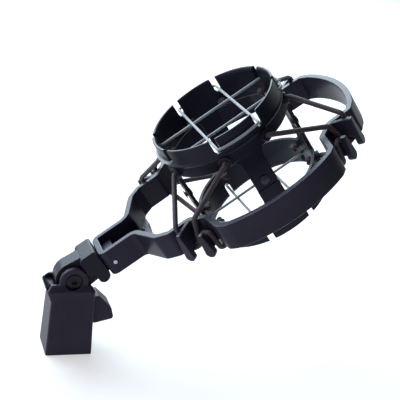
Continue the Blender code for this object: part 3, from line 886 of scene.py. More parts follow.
@dataclass(frozen=True)
class StudioFloor:
    """A pale sheet under the object, lit a little from below."""

    name: str = "pale_sheet"
    colour: Rgb = (0.42, 0.42, 0.43)
    glow: float = 0.47

    def made(self) -> bpy.types.Material:
        """Builds the material."""
        bench = Bench(self.name)
        cloud = bench.noise(3.0, 2.0)
        base = bench.mix(cloud, self.colour, lighter(self.colour, 0.985))
        fixed = {"Roughness": 0.85, "Emission Color": (1.0, 1.0, 1.0, 1.0), "Emission Strength": self.glow}
        return bench.surface({"Base Color": base}, fixed)


@dataclass(frozen=True)
class Finishes:
    """Every finish on the object, built once."""

    # The second colour of each plastic lightens its edges and creases: edge wear and a painted edge
    # highlight.
    adapter: MouldedPlastic = MouldedPlastic(
        "adapter_plastic", (0.0170, 0.0140, 0.0240), (0.085, 0.080, 0.095), 0.46, 2100.0
    )
    link: MouldedPlastic = MouldedPlastic("link_plastic", (0.006, 0.006, 0.011), (0.070, 0.068, 0.080), 0.46)
    frame: MouldedPlastic = MouldedPlastic(
        "frame_plastic", (0.0115, 0.0100, 0.0195), (0.090, 0.088, 0.105), 0.35
    )
    basket: MouldedPlastic = MouldedPlastic(
        "basket_plastic", (0.005, 0.0055, 0.011), (0.080, 0.080, 0.095), 0.36
    )
    rivet: MouldedPlastic = MouldedPlastic(
        "rivet_plastic", (0.030, 0.028, 0.034), (0.090, 0.088, 0.100), 0.34
    )
    nylon: MouldedPlastic = MouldedPlastic(
        "washer_nylon", (0.050, 0.050, 0.055), (0.110, 0.110, 0.115), 0.52
    )
    # Each woven finish's second colour goes on its raised strands: the strand tone with a painted highlight.
    elastic: WovenElastic = WovenElastic(
        "suspension_elastic", (0.011, 0.007, 0.013), (0.050, 0.031, 0.040), sheen=0.08
    )
    grip: WovenElastic = WovenElastic(
        "grip_elastic", (0.10, 0.115, 0.13), (0.34, 0.38, 0.42), 5.0, 2.0, 0.00006, sheen=0.5
    )
    brass: WorkedMetal = WorkedMetal("insert_brass", (0.55, 0.40, 0.18), (0.26, 0.16, 0.07), 0.30)
    steel: WorkedMetal = WorkedMetal("blackened_steel", (0.026, 0.025, 0.032), (0.015, 0.013, 0.015), 0.44)
    pin: WorkedMetal = WorkedMetal("pin_steel", (0.42, 0.41, 0.42), (0.28, 0.27, 0.28), 0.30)


# --- stand adapter ------------------------------------------------------------------------------


@dataclass
class StandAdapter:
    """The tapered block with its collar, fork and heel, and the threaded insert in its foot."""

    foot_half: Point = (0.0130, 0.0120)
    neck_half: Point = (0.0120, 0.0108)
    neck_height: float = 0.0320
    collar_left: float = 0.0148
    collar_front: float = 0.0118
    collar_height: float = 0.0387
    collar_top: float = 0.0417
    collar_top_half: float = 0.0092
    collar_draw: float = 0.0026
    ear_radius: float = 0.0078
    ear_outside: float = 0.0092
    ear_inside: float = 0.0068
    tongue_radius: float = 0.0096
    heel_half: float = 0.0060
    socket_radius: float = 0.0102
    socket_depth: float = 0.0200
    bolt_room: float = 0.0028
    head_room: float = 0.0047
    head_depth: float = 0.0013
    nut_room: float = 0.0049
    nut_pocket: float = 0.0010
    corner_radii: tuple[float, ...] = (0.0012, 0.0012, 0.0012, 0.0034)
    heel_corners: tuple[Point, ...] = (
        (0.0060, 0.0165), (0.0150, 0.0165), (0.0252, 0.0192),
        (0.0232, 0.0262), (0.0125, 0.0362), (0.0060, 0.0362))
    heel_radii: tuple[float, ...] = (0.0, 0.003, 0.0016, 0.006, 0.0, 0.0)
    fork_foot: float = 0.0340
    slot_room: float = 0.0007
    slot_ends: Point = (-0.0160, 0.0200)
    slot_top: float = 0.0600
    edge: float = 0.00045

    def block(self) -> Shape:
        """The block: a foot that narrows to a neck, under a collar with a sloped top and two overhangs."""
        (foot, foot_deep), (neck, neck_deep) = self.foot_half, self.neck_half
        draw, top_half = self.collar_draw, self.collar_top_half
        levels = [
            (0.0, foot, foot, foot_deep, foot_deep),
            (self.neck_height, neck, neck, neck_deep, neck_deep),
            (self.collar_height, self.collar_left, neck, self.collar_front, neck_deep),
            (self.collar_top, self.collar_left - draw, neck - draw, top_half, top_half),
        ]
        rows = []
        for height, left, right, front, back in levels:
            corners = [(-left, -front), (right, -front), (right, back), (-left, back)]
            rows.append([(x, y, height) for x, y in rounded(corners, self.corner_radii, 6)])
        return stacked(rows)

    def heel(self) -> Shape:
        """The rounded gusset under the fork."""
        return prism(rounded(self.heel_corners, self.heel_radii, 8), -self.heel_half, self.heel_half, "Y")

    def fork(self) -> Shape:
        """Both ears in one, before the slot is cut."""
        outline = [(-self.ear_radius, self.fork_foot), (self.ear_radius, self.fork_foot)]
        outline += arc((0.0, PIVOT_HEIGHT), self.ear_radius, 0.0, math.pi, 36)
        return prism(outline, -self.ear_outside, self.ear_outside, "Y")

    def slot(self) -> Shape:
        """The room between the ears, round under the tongue and open towards the arm."""
        room = self.tongue_radius + self.slot_room
        shoulder = self.collar_height + 0.0002
        dip = math.asin((PIVOT_HEIGHT - shoulder) / room)
        closed, mouth = self.slot_ends
        outline = [(mouth, self.slot_top), (closed, self.slot_top), (closed, shoulder)]
        outline += arc((0.0, PIVOT_HEIGHT), room, math.pi + dip, 1.5 * math.pi, 18)
        outline.append((mouth, PIVOT_HEIGHT - room))
        return prism(outline, -self.ear_inside, self.ear_inside, "Y")

    def bolt_way(self) -> Shape:
        """The bolt's hole with the seat of its head."""
        seat, far = self.head_depth - self.ear_outside, self.ear_outside + 0.002
        profile = [(0.0, -far), (self.head_room, -far), (self.head_room, seat),
                   (self.bolt_room, seat), (self.bolt_room, far), (0.0, far)]
        return moved(turned(profile, 40, "Y"), pivot_place())

    def build(self, finish: bpy.types.Material) -> bpy.types.Object:
        """Builds the block as one moulding.

        Args:
            finish: The moulding's finish.

        Returns:
            The piece.
        """
        socket = prism(circle(self.socket_radius, 64), -0.002, self.socket_depth)
        floor, above = self.ear_outside - self.nut_pocket, self.ear_outside + 0.004
        pocket = prism(circle(self.nut_room, 6), floor, above, "Y")
        blank = Blank("stand_adapter_body", self.block()).join(self.fork(), self.heel())
        blank.cut(self.slot(), socket, self.bolt_way(), moved(pocket, pivot_place()))
        data = blank.finish(self.edge, 34.0)
        piece = dressed("stand_adapter_body", data, finish, "stand_adapter")
        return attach(piece, Body.ADAPTER.value)


@dataclass
class ThreadInsert:
    """The turned insert with its cut thread and a chamfered mouth."""

    outer: float = 0.0099
    start: float = 0.0006
    end: float = 0.0180
    crest: float = 0.00735
    root: float = 0.00795
    pitch: float = 0.0254 / 27
    around: int = 60
    rows_per_turn: int = 8
    crest_slope: float = 1.25
    mouth_depth: float = 0.0009
    mouth_flare: float = 0.0003
    chamfer: float = 0.0004

    def build(self, finish: bpy.types.Material) -> bpy.types.Object:
        """Builds the insert with a real helical thread inside.

        Args:
            finish: The insert's finish.

        Returns:
            The piece.
        """
        count = round((self.end - self.start) / self.pitch * self.rows_per_turn)
        drawn = self.outer - self.chamfer
        outside = [(drawn, self.end), (self.outer, self.end - self.chamfer),
                   (self.outer, self.start + self.chamfer), (drawn, self.start)]
        rows = []
        for step in range(self.around):
            angle = TURN * step / self.around
            row = []
            for level in range(count + 1):
                height = self.start + (self.end - self.start) * level / count
                phase = (height / self.pitch - step / self.around) % 1.0
                rise = min(1.0, self.crest_slope * (1 - abs(2 * phase - 1)))
                mouth = max(0.0, 1 - min(height - self.start, self.end - height) / self.mouth_depth)
                radius = self.crest + (self.root - self.crest) * max(rise, mouth) + self.mouth_flare * mouth
                row.append((*polar(radius, angle), height))
            rows.append(row + [(*polar(radius, angle), height) for radius, height in outside])
        data = Blank("insert", stacked(rows, closed=True)).finish()
        piece = dressed("thread_insert_turned", data, finish, "thread_insert")
        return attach(piece, Body.ADAPTER.value)


@dataclass
class PivotHardware:
    """The socket-headed bolt across the fork and its locking nut."""

    ear_outside: float = 0.0092
    shank: float = 0.0025
    head: float = 0.0044
    head_depth: float = 0.0013
    nut_pocket: float = 0.0010
    nut: float = 0.0046
    nut_thickness: float = 0.0032
    key: float = 0.0017
    key_depth: float = 0.0013
    head_inset: float = 0.0002
    thread_start: float = 0.0073
    thread_pitch: float = 0.0008
    thread_depth: float = 0.00038
    tip_short: float = 0.0008

    def bolt(self) -> bpy.types.Mesh:
        """The bolt, its head bevelled round the rim, with a hexagon socket, and its end threaded."""
        front = -self.ear_outside + self.head_inset
        end = self.ear_outside + self.nut_thickness - self.tip_short
        under = -self.ear_outside + self.head_depth - GAP
        profile = [(0.0, front), (self.head - 0.0005, front), (self.head, front + 0.0004),
                   (self.head, under), (self.shank, under)]
        height, low = self.thread_start, True
        while height < end - 0.0003:
            profile.append((self.shank - (self.thread_depth if low else 0.0), height))
            height += self.thread_pitch / 2
            low = not low
        profile += [(self.shank - 0.0004, end), (0.0, end)]
        key = prism(circle(self.key, 6), front - 0.001, front + self.key_depth, "Y")
        blank = Blank("bolt", moved(turned(profile, 44, "Y"), pivot_place())).cut(moved(key, pivot_place()))
        return blank.finish()

    def locking_nut(self) -> bpy.types.Mesh:
        """The hexagon nut with its corners turned off."""
        low = self.ear_outside - self.nut_pocket + GAP
        high = low + self.nut_thickness
        hexagon = prism(circle(self.nut, 6), low, high, "Y")
        corner = self.nut * 0.90
        wide, past = self.nut + 0.0002, 0.001
        outside = [(0.0, low - past), (corner, low - past), (corner, low), (wide, low + 0.0004),
                   (wide, high - 0.0007), (corner, high), (corner, high + past), (0.0, high + past)]
        blank = Blank("nut", moved(hexagon, pivot_place()))
        blank.steps.append(("INTERSECT", moved(turned(outside, 48, "Y"), pivot_place())))
        blank.cut(moved(prism(circle(self.shank + GAP, 32), 0.0, 0.03, "Y"), pivot_place()))
        return blank.finish(0.0001, 50.0)

    def build(self, finishes: Finishes) -> None:
        """Builds the bolt and the nut.

        Args:
            finishes: The object's finishes.
        """
        steel = finishes.steel.made()
        for data, node in ((self.bolt(), "pivot_bolt"), (self.locking_nut(), "pivot_nut")):
            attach(dressed(f"{node}_black", data, steel, node), Body.ADAPTER.value)


# --- tilt link ----------------------------------------------------------------------------------


@dataclass
class TiltLink:
    """The tongue in the fork, the block behind it, the tenon in the arm and the pin that holds it."""

    tongue_radius: float = 0.0096
    tongue_half: float = 0.0054
    body_start: float = 0.0116
    cheek_start: float = 0.0086
    cheek_bottom: float = -0.0020
    body_half: float = 0.0094
    top: float = 0.0088
    bottom: float = -0.0110
    end: float = ARM_REACH - 0.0955 - 0.0005
    tenon_half: float = 0.0072
    tenon_low: float = -0.0020 - 0.0155 / 2 + 0.0025 + GAP
    tenon_height: float = 0.0085
    tenon_length: float = 0.0095
    bolt_room: float = 0.0028
    pin_radius: float = 0.0013
    pin_setback: float = 0.0060
    pin_half: float = 0.0118
    pin_chamfer: float = 0.0003
    block_radii: tuple[float, ...] = (0.0030, 0.0042, 0.0012, 0.0026, 0.0, 0.0)
    edge: float = 0.0004

    @property
    def pin_middle(self) -> Point:
        """Where the pin crosses, along the arm and up."""
        return (self.end + self.pin_setback, self.tenon_low + self.tenon_height / 2)

    def pin_hole(self) -> Shape:
        """What the pin's hole takes out of the tenon and the arm."""
        return prism(circle(self.pin_radius + GAP, 24, self.pin_middle), -THROUGH, THROUGH, "Y")

    def body(self) -> bpy.types.Mesh:
        """The link as one moulding."""
        outline = arc((0.0, 0.0), self.tongue_radius, math.pi / 2, 1.5 * math.pi, 36)
        outline += [(self.end - 0.002, 0.0006 - self.top), (self.end - 0.002, self.top - 0.0006)]
        corners = [(self.body_start, self.bottom), (self.end, self.bottom), (self.end, self.top),
                   (self.cheek_start, self.top), (self.cheek_start, self.cheek_bottom),
                   (self.body_start, self.cheek_bottom - 0.0008)]
        block = prism(rounded(corners, self.block_radii, 8), -self.body_half, self.body_half, "Y")
        plug = rectangle(self.end - 0.004, self.end + self.tenon_length,
                         self.tenon_low, self.tenon_low + self.tenon_height)
        tenon = prism(plug, -self.tenon_half, self.tenon_half, "Y")
        blank = Blank("link", prism(outline, -self.tongue_half, self.tongue_half, "Y")).join(block, tenon)
        blank.cut(prism(circle(self.bolt_room, 32), -THROUGH, THROUGH, "Y"), self.pin_hole())
        data = blank.finish(self.edge, 34.0)
        data.transform(tilt_place())
        return data

    def pin(self) -> bpy.types.Mesh:
        """The ground pin with chamfered ends."""
        r, half, e = self.pin_radius, self.pin_half, self.pin_chamfer
        profile = [(0.0, -half), (r - e, -half), (r, -half + e), (r, half - e), (r - e, half), (0.0, half)]
        data = Blank("pin", turned(profile, 32, "Y")).finish()
        x, z = self.pin_middle
        data.transform(tilt_place() @ Matrix.Translation((x, 0.0, z)))
        return data

    def build(self, finishes: Finishes) -> None:
        """Builds the link and its pin.

        Args:
            finishes: The object's finishes.
        """
        pieces = (
            dressed("tilt_link_body", self.body(), finishes.link.made(), "tilt_link"),
            dressed("arm_pin_ground", self.pin(), finishes.pin.made(), "arm_pin"),
        )
        for piece in pieces:
            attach(piece, Body.FRAME.value)


# --- frame --------------------------------------------------------------------------------------


@dataclass
class OuterFrame:
    """The tall thin wall that runs up one side of the arm, round four petals and four pockets, and back."""

    radius: float = 0.0672
    wall: float = 0.0036
    height: float = 0.0155
    middle: float = -0.0020 - CAGE_RISE
    edge: float = 0.0006
    arm_end: float = 0.0955
    arm_half: float = 0.0116
    junction: float = 0.0728
    shoulder: Point = (0.0700, math.radians(24.0))
    web: float = 0.0025
    sill: float = 0.0060
    neck: float = 0.0024
    neck_cuts: tuple[float, float] = (0.0036, 0.0044)
    tongue: float = 0.0032
    tongue_top: float = 0.0014
    tongue_end: float = 0.0029
    tongue_tail: float = 0.0027
    tongue_bend: float = 0.0006
    hook_edge: float = 0.0004
    hook_root: float = 0.0562
    hook_drop: float = 0.0034
    pocket: tuple[tuple[float, float, float], ...] = (
        (0.0663, 29.8, 0.0022), (0.0560, 36.4, 0.0022), (0.0552, 48.8, 0.0032), (0.0660, 58.6, 0.0026))
    hook_one: tuple[float, float, float] = (math.radians(37.5), 0.0690, -0.0011)
    hook_two: tuple[float, float, float] = (math.radians(47.4), 0.0672, 0.0)

    @property
    def low(self) -> float:
        """Height of the wall's lower edge."""
        return self.middle - self.height / 2

    @property
    def high(self) -> float:
        """Height of the wall's upper edge."""
        return self.middle + self.height / 2

    def line(self) -> list[Point]:
        """The wall's middle line: arm, junctions, petals and pockets."""
        corners: list[Point] = []
        radii: list[float] = []
        quarter = [(polar(radius, math.radians(angle)), bend) for radius, angle, bend in self.pocket]
        arm = self.arm_half - self.wall / 2
        side = [(polar(*self.shoulder), 0.004), ((self.junction - 0.0004, arm), 0.006),
                ((self.arm_end - self.wall / 2, arm), 0.0026)]

        def run(points: list[tuple[Point, float]], sx: int, sy: int) -> None:
            for (x, y), bend in points:
                corners.append((sx * x, sy * y))
                radii.append(bend)

        def petal(start: float, end: float, steps: int) -> None:
            spots = arc((0.0, 0.0), self.radius, math.radians(start), math.radians(end), steps)
            run([(spot, 0.0) for spot in spots], 1, 1)

        petal(-24, 24, 26)
        run(quarter, 1, 1)
        petal(62, 118, 30)
        run(quarter[::-1], -1, 1)
        run(side, -1, 1)
        run(side[::-1], -1, -1)
        run(quarter, -1, -1)
        petal(242, 298, 30)
        run(quarter[::-1], 1, -1)
        return rounded(corners, radii, 6)

    def hook(self, spot: Place, low: float, high: float, top: float, sx: int, sy: int) -> list[Shape]:
        """A thin radial neck, and the tongue across its end that widens to a round foot below the wall."""
        angle, reach, lean = spot
        place = Matrix.Diagonal((sx, sy, 1.0, 1.0)) @ Matrix.Rotation(angle, 4, "Z")
        half, bend = self.neck / 2, self.tongue_bend
        foot = self.low - self.tongue_tail + self.tongue_end
        outline = arc((lean, foot), self.tongue_end, math.pi * 0.97, math.pi * 2.03, 20)
        outline += arc((self.tongue_top - bend, top - bend), bend, 0.0, math.pi / 2, 4)
        outline += arc((-self.tongue_top + bend, top - bend), bend, math.pi / 2, math.pi, 4)
        along = rectangle(self.hook_root, reach - self.tongue / 2, -half, half)
        neck = softened(along, low, high, self.hook_edge)
        upright = Matrix(((0, 0, 1, 0), (1, 0, 0, 0), (0, 1, 0, 0), (0, 0, 0, 1)))
        tongue = moved(softened(outline, reach - self.tongue, reach, self.hook_edge), upright)
        return [moved(neck, place), moved(tongue, place)]

    def web_and_sill(self) -> list[Shape]:
        """The arm's thin floor and the raised sill across its mouth."""
        inner = self.radius - self.wall / 2 - 0.0006
        mouth = math.asin((self.arm_half + 0.0002) / inner)
        deep = -self.arm_end + self.wall / 2
        outline = [(deep, self.arm_half - 0.0018), (deep, -self.arm_half + 0.0018)]
        outline += arc((0.0, 0.0), inner, math.pi + mouth, math.pi - mouth, 16)
        wide = mouth * 1.25
        ridge = arc((0.0, 0.0), inner + 0.0003, math.pi + wide, math.pi - wide, 20)
        ridge += arc((0.0, 0.0), inner + 0.0026, math.pi - wide, math.pi + wide, 20)
        return [prism(outline, self.low + 0.0001, self.low + self.web),
                prism(ridge, self.low + 0.0002, self.low + self.sill)]

    def build(self, link: TiltLink, finish: bpy.types.Material) -> bpy.types.Object:
        """Builds the frame as one moulding.

        Args:
            link: The link, whose tenon and pin need room in the arm.
            finish: The moulding's finish.

        Returns:
            The piece.
        """
        wall = swept(self.line(), section(self.wall, self.height, self.edge), self.middle)
        blank = Blank("frame", wall).join(*self.web_and_sill())
        low, high, (cut_one, cut_two) = self.low, self.high, self.neck_cuts
        top = high - self.hook_drop
        for corner in Corner:
            blank.join(
                *self.hook(self.hook_one, low + cut_one, high - 0.0001, high - 0.0004, *corner.value),
                *self.hook(self.hook_two, low + 0.0003, top - cut_two, top, *corner.value),
            )
        to_cage = cage_place().inverted() @ tilt_place()
        room = rectangle(-0.03, 0.0235, link.tenon_low - GAP, link.tenon_low + link.tenon_height + GAP)
        window = prism(room, -link.tenon_half - GAP, link.tenon_half + GAP, "Y")
        blank.cut(moved(window, to_cage), moved(link.pin_hole(), to_cage))
        data = blank.finish()
        data.transform(cage_place())
        piece = dressed("outer_frame_body", data, finish, "outer_frame")
        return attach(piece, Body.FRAME.value)


# --- basket -------------------------------------------------------------------------------------


@dataclass
class Basket:
    """Two ringed mouldings that lap and rivet at the middle of four straps."""

    radius: float = 0.0370
    wall: float = 0.0024
    half: float = 0.0350
    ring_edge: float = 0.0166
    bead: float = 0.0246
    bead_half: float = 0.0012
    bead_proud: float = 0.0008
    ring_bend: float = 0.0004
    slit_angle: float = math.radians(20.0)
    slit_width: float = 0.0034
    slit_depth: float = 0.0088
    strap_angle: float = math.radians(10.2)
    flare_height: float = 0.0050
    lap: float = 0.0045
    eye_height: float = 0.0205
    eye_radius: float = 0.0017
    boss_radius: float = 0.0034
    boss_proud: float = 0.0016
    reach: Point = (0.03, 0.05)
    rivet_radius: float = 0.0014
    rivet_head: float = 0.0026
    rivet_dome: float = 0.0011

    @property
    def inner(self) -> float:
        """Radius inside the rings."""
        return self.radius - self.wall

    @property
    def slit_offset(self) -> float:
        """Distance of a slit from the middle plane that it runs beside."""
        return self.radius * math.sin(self.slit_angle)

    def ring(self, side: Side) -> Shape:
        """The ring: a rounded rim, a bead below it and an eased lower edge."""
        r, inner, low, top, e = self.radius, self.inner, self.ring_edge, self.half, self.ring_bend
        bead, wide = self.bead, self.bead_half
        drawn, full = r - 0.0002, r + self.bead_proud * 0.7
        profile = [
            (inner + e, low), (drawn - e, low), (drawn, low + e),
            (r, bead - wide), (full, bead - wide / 2), (r + self.bead_proud, bead),
            (full, bead + wide / 2), (r, bead + wide),
            (r, top - e), (r - 0.3 * e, top - 0.3 * e), (r - e, top), (inner + 0.0015, top),
            (inner + 0.0009, top - 0.0004), (inner, top - 0.0024), (inner, low + e),
        ]
        return turned([(a, side.value * z) for a, z in profile], 120)

    def strap(self, angle: float, inner: float, outer: float, stations: list[Point]) -> Shape:
        """A strap that follows the ring; stations give its height and its half width there."""
        rows, across = [], 10
        for height, half in stations:
            sweep = [angle - half + 2 * half * step / across for step in range(across + 1)]
            row = [(*polar(outer, a), height) for a in sweep]
            rows.append(row + [(*polar(inner, a), height) for a in reversed(sweep)])
        return stacked(rows)

    def slit(self, side: Side, axis: str, sign: int) -> Shape:
        """A slit across the rim for a grip cord, round at the bottom."""
        half = self.slit_width / 2
        low = self.half - self.slit_depth + half
        above = self.half + 0.003
        outline = [(half, above), (-half, above), *arc((0, low), half, math.pi, TURN, 12)]
        shape = prism([(a + sign * self.slit_offset, side.value * b) for a, b in outline], -0.05, 0.05, axis)
        bmesh.ops.recalc_face_normals(shape, faces=shape.faces)
        return shape

    def radial(self, radius: float, ends: Point, angle: float, height: float, steps: int) -> Shape:
        """A round pin that points away from the basket's axis, between two distances from it."""
        place = Matrix.Rotation(angle, 4, "Z") @ Matrix.Translation((0.0, 0.0, height))
        return moved(prism(circle(radius, steps), *ends, "X"), place)

    def eyes(self) -> list[float]:
        """The angles of a ring's eight eyes."""
        return [QUARTER * quarter + sign * self.slit_angle for quarter in range(4) for sign in (-1, 1)]

    def moulding(self, side: Side, finish: bpy.types.Material) -> bpy.types.Object:
        """One ring with its four half straps.

        Args:
            side: Which half of the basket.
            finish: The moulding's finish.

        Returns:
            The piece.
        """
        up = side.value
        blank = Blank(f"{side.word}_basket", self.ring(side))
        split = self.radius - self.wall / 2
        drawn = 0.00025
        lap = (split + GAP / 2, self.radius - drawn) if up > 0 else (self.inner + drawn, split - GAP / 2)
        root, foot = self.strap_angle * (1.08 if up > 0 else 1.22), self.ring_edge - 0.0002
        wide, narrow = root * 1.16, self.strap_angle * 0.98
        flare = [(self.ring_edge + 0.0012, root * 1.24), (foot, wide)]
        for step in range(1, 6):
            share = step / 5
            half = self.strap_angle + (wide - self.strap_angle) * (1 - share) ** 2
            flare.append((foot - self.flare_height * share, half))
        flare.append((self.lap + GAP, self.strap_angle))
        flared = [(up * height, half) for height, half in flare]
        overlap = [(up * (self.lap + 0.0010), narrow), (-up * self.lap, narrow)]
        for quarter in range(4):
            angle = QUARTER * quarter
            blank.join(self.strap(angle, self.inner + 0.0001, self.radius - 0.0001, flared))
            blank.join(self.strap(angle, *lap, overlap))
            blank.cut(self.radial(self.rivet_radius + GAP, self.reach, angle, 0.0, 20))
        height = up * self.eye_height
        for angle in self.eyes():
            ends = (self.radius - 0.001, self.radius + self.boss_proud)
            blank.join(self.radial(self.boss_radius, ends, angle, height, 28))
            blank.cut(self.radial(self.eye_radius, self.reach, angle, height, 20))
        for axis in "XY":
            blank.cut(*(self.slit(side, axis, sign) for sign in (-1, 1)))
        joins = [s for s in blank.steps if s[0] == "UNION"]
        blank.steps = joins + [s for s in blank.steps if s[0] != "UNION"]
        data = blank.finish(0.00022, 50.0)
        data.transform(cage_place())
        word = side.word
        piece = dressed(f"{word}_basket_body", data, finish, f"{word}_basket")
        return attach(piece, Body.BASKET.value)

    def rivet(self, angle: float) -> bpy.types.Mesh:
        """A rivet through a lap, with a low dome on each side."""
        inner, outer, shank = self.inner - GAP, self.radius + GAP, self.rivet_radius
        head, dome = self.rivet_head, self.rivet_dome
        side = [(head * math.cos(a), dome * math.sin(a)) for a in (math.radians(15 * s) for s in range(7))]
        profile = [(r, inner - h * 0.75) for r, h in reversed(side)] + [(shank, inner)]
        profile += [(shank, outer)] + [(r, outer + h * 0.73) for r, h in side]
        profile = [(r if r > 1e-9 else 0.0, height) for r, height in profile]
        data = Blank("rivet", turned(profile, 36, "Y")).finish()
        data.transform(cage_place() @ Matrix.Rotation(angle - math.pi / 2, 4, "Z"))
        return data

    def build(self, finishes: Finishes) -> None:
        """Builds both mouldings and the rivets.

        Args:
            finishes: The object's finishes.
        """
        plastic = finishes.basket.made()
        for side in Side:
            self.moulding(side, plastic)
        domed = finishes.rivet.made()
        for number, place in enumerate(("right", "far", "left", "near")):
            data = self.rivet(QUARTER * number)
            piece = dressed(f"{place}_rivet_domed", data, domed, f"{place}_strap_rivet")
            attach(piece, Body.BASKET.value)


# --- cords --------------------------------------------------------------------------------------


@dataclass
class Suspension:
    """Eight elastics, each knotted inside the ring, drawn over the frame's wall and held behind a hook."""

    radius: float = 0.0014
    bend: float = 0.0016
    spacing: float = 0.0008
    blend_radii: Point = (0.0570, 0.0350)
    knot_size: float = 0.00062
    upper_crossings: tuple[Point, ...] = ((0.0584, 43.7),)
    lower_crossings: tuple[Point, ...] = ((0.0585, 42.8), (0.0612, 50.4))
    upper_hold: tuple[Point, ...] = ((0.0641, -0.0029), (0.0633, 0.0), (0.0615, 0.0028))
    lower_hold: tuple[Point, ...] = ((0.0605, -0.0029), (0.0611, 0.0), (0.0617, 0.0029))

    def route(self, side: Side, corner: Corner, frame: OuterFrame, basket: Basket) -> list[Place]:
        """The elastic's line: eye, over the wall, round its hook's neck, and back to the next eye."""
        up, (sx, sy) = side.value, corner.value
        bore = (basket.inner - 0.0024, basket.radius + basket.boss_proud + 0.0012)
        eye = up * basket.eye_height
        edge = frame.middle + up * (frame.height / 2 + self.radius + 0.0005)
        clear = self.radius + 0.0003
        if side is Side.UPPER:
            turn, hold, crossings = frame.hook_one[0], self.upper_hold, self.upper_crossings
            level = frame.low + frame.neck_cuts[0] - clear
            rise = edge
        else:
            turn, hold, crossings = frame.hook_two[0], self.lower_hold, self.lower_crossings
            level = frame.high - frame.hook_drop - frame.neck_cuts[1] + clear
            rise = level - 0.0030
        over = [(*polar(radius, math.radians(angle)), edge) for radius, angle in crossings]
        cosine, sine = math.cos(turn), math.sin(turn)
        held = [(out * cosine - across * sine, out * sine + across * cosine, height)
                for (out, across), height in zip((hold[0], *hold), (rise, level, level, level))]
        first, second = basket.slit_angle, math.pi / 2 - basket.slit_angle
        start = [(*polar(radius, first), eye) for radius in bore]
        finish = [(*polar(radius, second), eye) for radius in reversed(bore)]
        corners = [*start, *over[:-1], *held, over[-1], *finish]
        return stretched([(sx * x, sy * y, z) for x, y, z in corners], self.bend)

    def elastic(self, side: Side, corner: Corner, frame: OuterFrame, basket: Basket) -> bpy.types.Mesh:
        """One elastic with its two knots, as a mesh in the row frame."""
        line = eased(resampled(self.route(side, corner, frame, basket), self.spacing))
        shapes = [tube(line, self.radius, 14, twist=1.5)]
        for end, beside in ((line[0], line[1]), (line[-1], line[-2])):
            way = (end - beside).normalized()
            knot = knot_route(end + way * self.radius * 0.3, way, self.knot_size)
            shapes.append(tube(knot, self.radius * 0.66, 10, closed=True))
        data = mesh_of("elastic", together(shapes))
        data.transform(cage_place())
        return data

    def build(self, frame: OuterFrame, basket: Basket, finish: bpy.types.Material) -> None:
        """Builds all eight, each strung between the frame and the basket with its transform baked in.

        Args:
            frame: The frame they hang from.
            basket: The basket they hold.
            finish: Their woven finish.
        """
        for side in Side:
            for corner in Corner:
                name, node = (f"{side.word}_{kind}_{corner.word}" for kind in ("suspension", "elastic"))
                data = self.elastic(side, corner, frame, basket)
                piece = dressed(name, data, finish, node)
                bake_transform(piece)


@dataclass
class GripCords:
    """Four thin cord loops, two crossed at each rim, that grip the microphone."""

    radius: float = 0.00075
    lift: float = 0.0018
    spacing: float = 0.0007
    bend: float = 0.0013
    knot_size: float = 0.00036

    def route(self, side: Side, axis: str, basket: Basket) -> list[Place]:
        """A loop: across the ring, round the outside to the next slit, back across and round again."""
        rise = self.lift if axis == "Y" else 0.0
        height = side.value * (basket.half - basket.slit_depth + self.radius + GAP + rise)
        outside = basket.radius + self.radius + GAP + 0.0003
        swing = math.asin(basket.slit_offset / outside)
        corners = arc((0.0, 0.0), outside, -swing, swing, 12)
        corners += arc((0.0, 0.0), outside, math.pi - swing, math.pi + swing, 12)
        radii = [0.0] * len(corners)
        for corner in (0, 12, 13, 25):
            radii[corner] = self.bend
        outline = rounded(corners, radii, 5)
        if axis == "Y":
            outline = [(-y, x) for x, y in outline]
        return [(x, y, height) for x, y in outline]

    def build(self, basket: Basket, finish: bpy.types.Material) -> None:
        """Builds the four loops, each tied with a small knot outside the ring.

        Args:
            basket: The basket they cross.
            finish: Their woven finish.
        """
        for side in Side:
            for axis in "XY":
                line = resampled(self.route(side, axis, basket), self.spacing, closed=True)
                tied = len(line) // 23
                way = (line[tied + 1] - line[tied - 1]).normalized()
                knot = knot_route(line[tied], way, self.knot_size, 40)
                loop = tube(line, self.radius, 10, closed=True)
                tie = tube(knot, self.radius * 0.6, 8, closed=True)
                data = mesh_of("grip", together((loop, tie)))
                data.transform(cage_place())
                name, node = (f"{side.word}_grip_{kind}_{axis.lower()}" for kind in ("loop", "cord"))
                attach(dressed(name, data, finish, node), Body.BASKET.value)


# --- studio -------------------------------------------------------------------------------------


@dataclass(frozen=True)
class Softbox:
    """A large soft light aimed at the object."""

    name: str
    place: Place
    width: float
    depth: float
    power: float
    colour: Rgb

    def build(self, aim: Vector) -> None:
        """Hangs the light and turns it to the aim."""
        data = bpy.data.lights.new(self.name, "AREA")
        data.shape, data.size, data.size_y = "RECTANGLE", self.width, self.depth
        data.energy, data.color = self.power, self.colour
        made = linked(self.name, data)
        made.location, made.rotation_mode = self.place, "QUATERNION"
        made.rotation_quaternion = (aim - Vector(self.place)).to_track_quat("-Z", "Y")


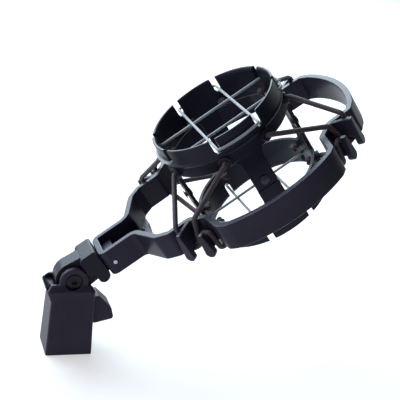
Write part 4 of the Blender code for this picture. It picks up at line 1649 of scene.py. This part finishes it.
@dataclass
class Studio:
    """The pale floor, the soft lights and the camera."""

    aim: Place = (0.070, 0.0, 0.090)
    camera_place: Place = (-0.1028, -0.4671, 0.2713)
    camera_right: Place = (0.946, -0.2959, 0.1322)
    camera_down: Place = (0.0149, -0.3678, -0.9298)
    camera_ahead: Place = (0.3237, 0.8816, -0.3436)
    lens: float = 85.27
    sensor: float = 36.0
    floor_half: float = 6.0
    sky: Rgb = (0.90, 0.95, 1.0)
    sky_strength: float = 0.12
    lights: tuple[Softbox, ...] = (
        Softbox("back_softbox", (-0.25, 1.20, 0.95), 2.2, 1.2, 74.0, (0.80, 0.95, 1.0)),
        Softbox("left_softbox", (-1.10, 0.10, 0.90), 1.0, 1.0, 17.0, (0.91, 0.90, 1.0)),
        Softbox("right_softbox", (1.25, 0.55, 0.45), 0.9, 0.8, 1.7, (0.88, 1.0, 0.94)),
        Softbox("front_fill", (0.60, -1.30, 0.60), 1.2, 1.0, 0.8, (0.95, 0.88, 1.0)),
    )

    def floor(self) -> None:
        """A wide sheet under the foot of the stand adapter."""
        shape = bmesh.new()
        bmesh.ops.create_grid(shape, x_segments=12, y_segments=12, size=self.floor_half)
        shown("floor_sheet", mesh_of("floor_sheet", shape), StudioFloor().made())

    def camera(self) -> None:
        """The camera at the object's three-quarter view."""
        data = bpy.data.cameras.new("studio_camera")
        data.lens, data.sensor_width, data.clip_start = self.lens, self.sensor, 0.02
        made = linked("studio_camera", data)
        columns = [Vector(self.camera_right), -Vector(self.camera_down), -Vector(self.camera_ahead)]
        turn = Matrix([c.normalized() for c in columns]).transposed()
        made.matrix_world = Matrix.Translation(self.camera_place) @ turn.to_4x4()
        bpy.context.scene.camera = made

    def build(self) -> None:
        """Sets the stage."""
        self.camera()
        self.floor()
        for light in self.lights:
            light.build(Vector(self.aim))
        world = bpy.data.worlds.new("studio")
        world.use_nodes = True
        sky = world.node_tree.nodes["Background"]
        sky.inputs["Color"].default_value = (*self.sky, 1.0)
        sky.inputs["Strength"].default_value = self.sky_strength
        bpy.context.scene.world = world
        bpy.context.scene.view_settings.view_transform = "Standard"


def main() -> None:
    """Builds every sub-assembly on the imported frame, in order."""
    logging.basicConfig(level=logging.INFO, format="%(name)s: %(message)s")
    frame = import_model()
    finishes = Finishes()
    Studio().build()
    StandAdapter().build(finishes.adapter.made())
    ThreadInsert().build(finishes.brass.made())
    PivotHardware().build(finishes)
    link, outer, basket = TiltLink(), OuterFrame(), Basket()
    link.build(finishes)
    outer.build(link, finishes.frame.made())
    basket.build(finishes)
    Suspension().build(outer, basket, finishes.elastic.made())
    GripCords().build(basket, finishes.grip.made())
    nylon = finishes.nylon.made()
    for name in ("near_washer", "far_washer"):
        washer = frame["nodes"][name]
        washer.data.materials.clear()
        washer.data.materials.append(nylon)
        log.info("dressed %s", name)


if __name__ == "__main__":
    main()
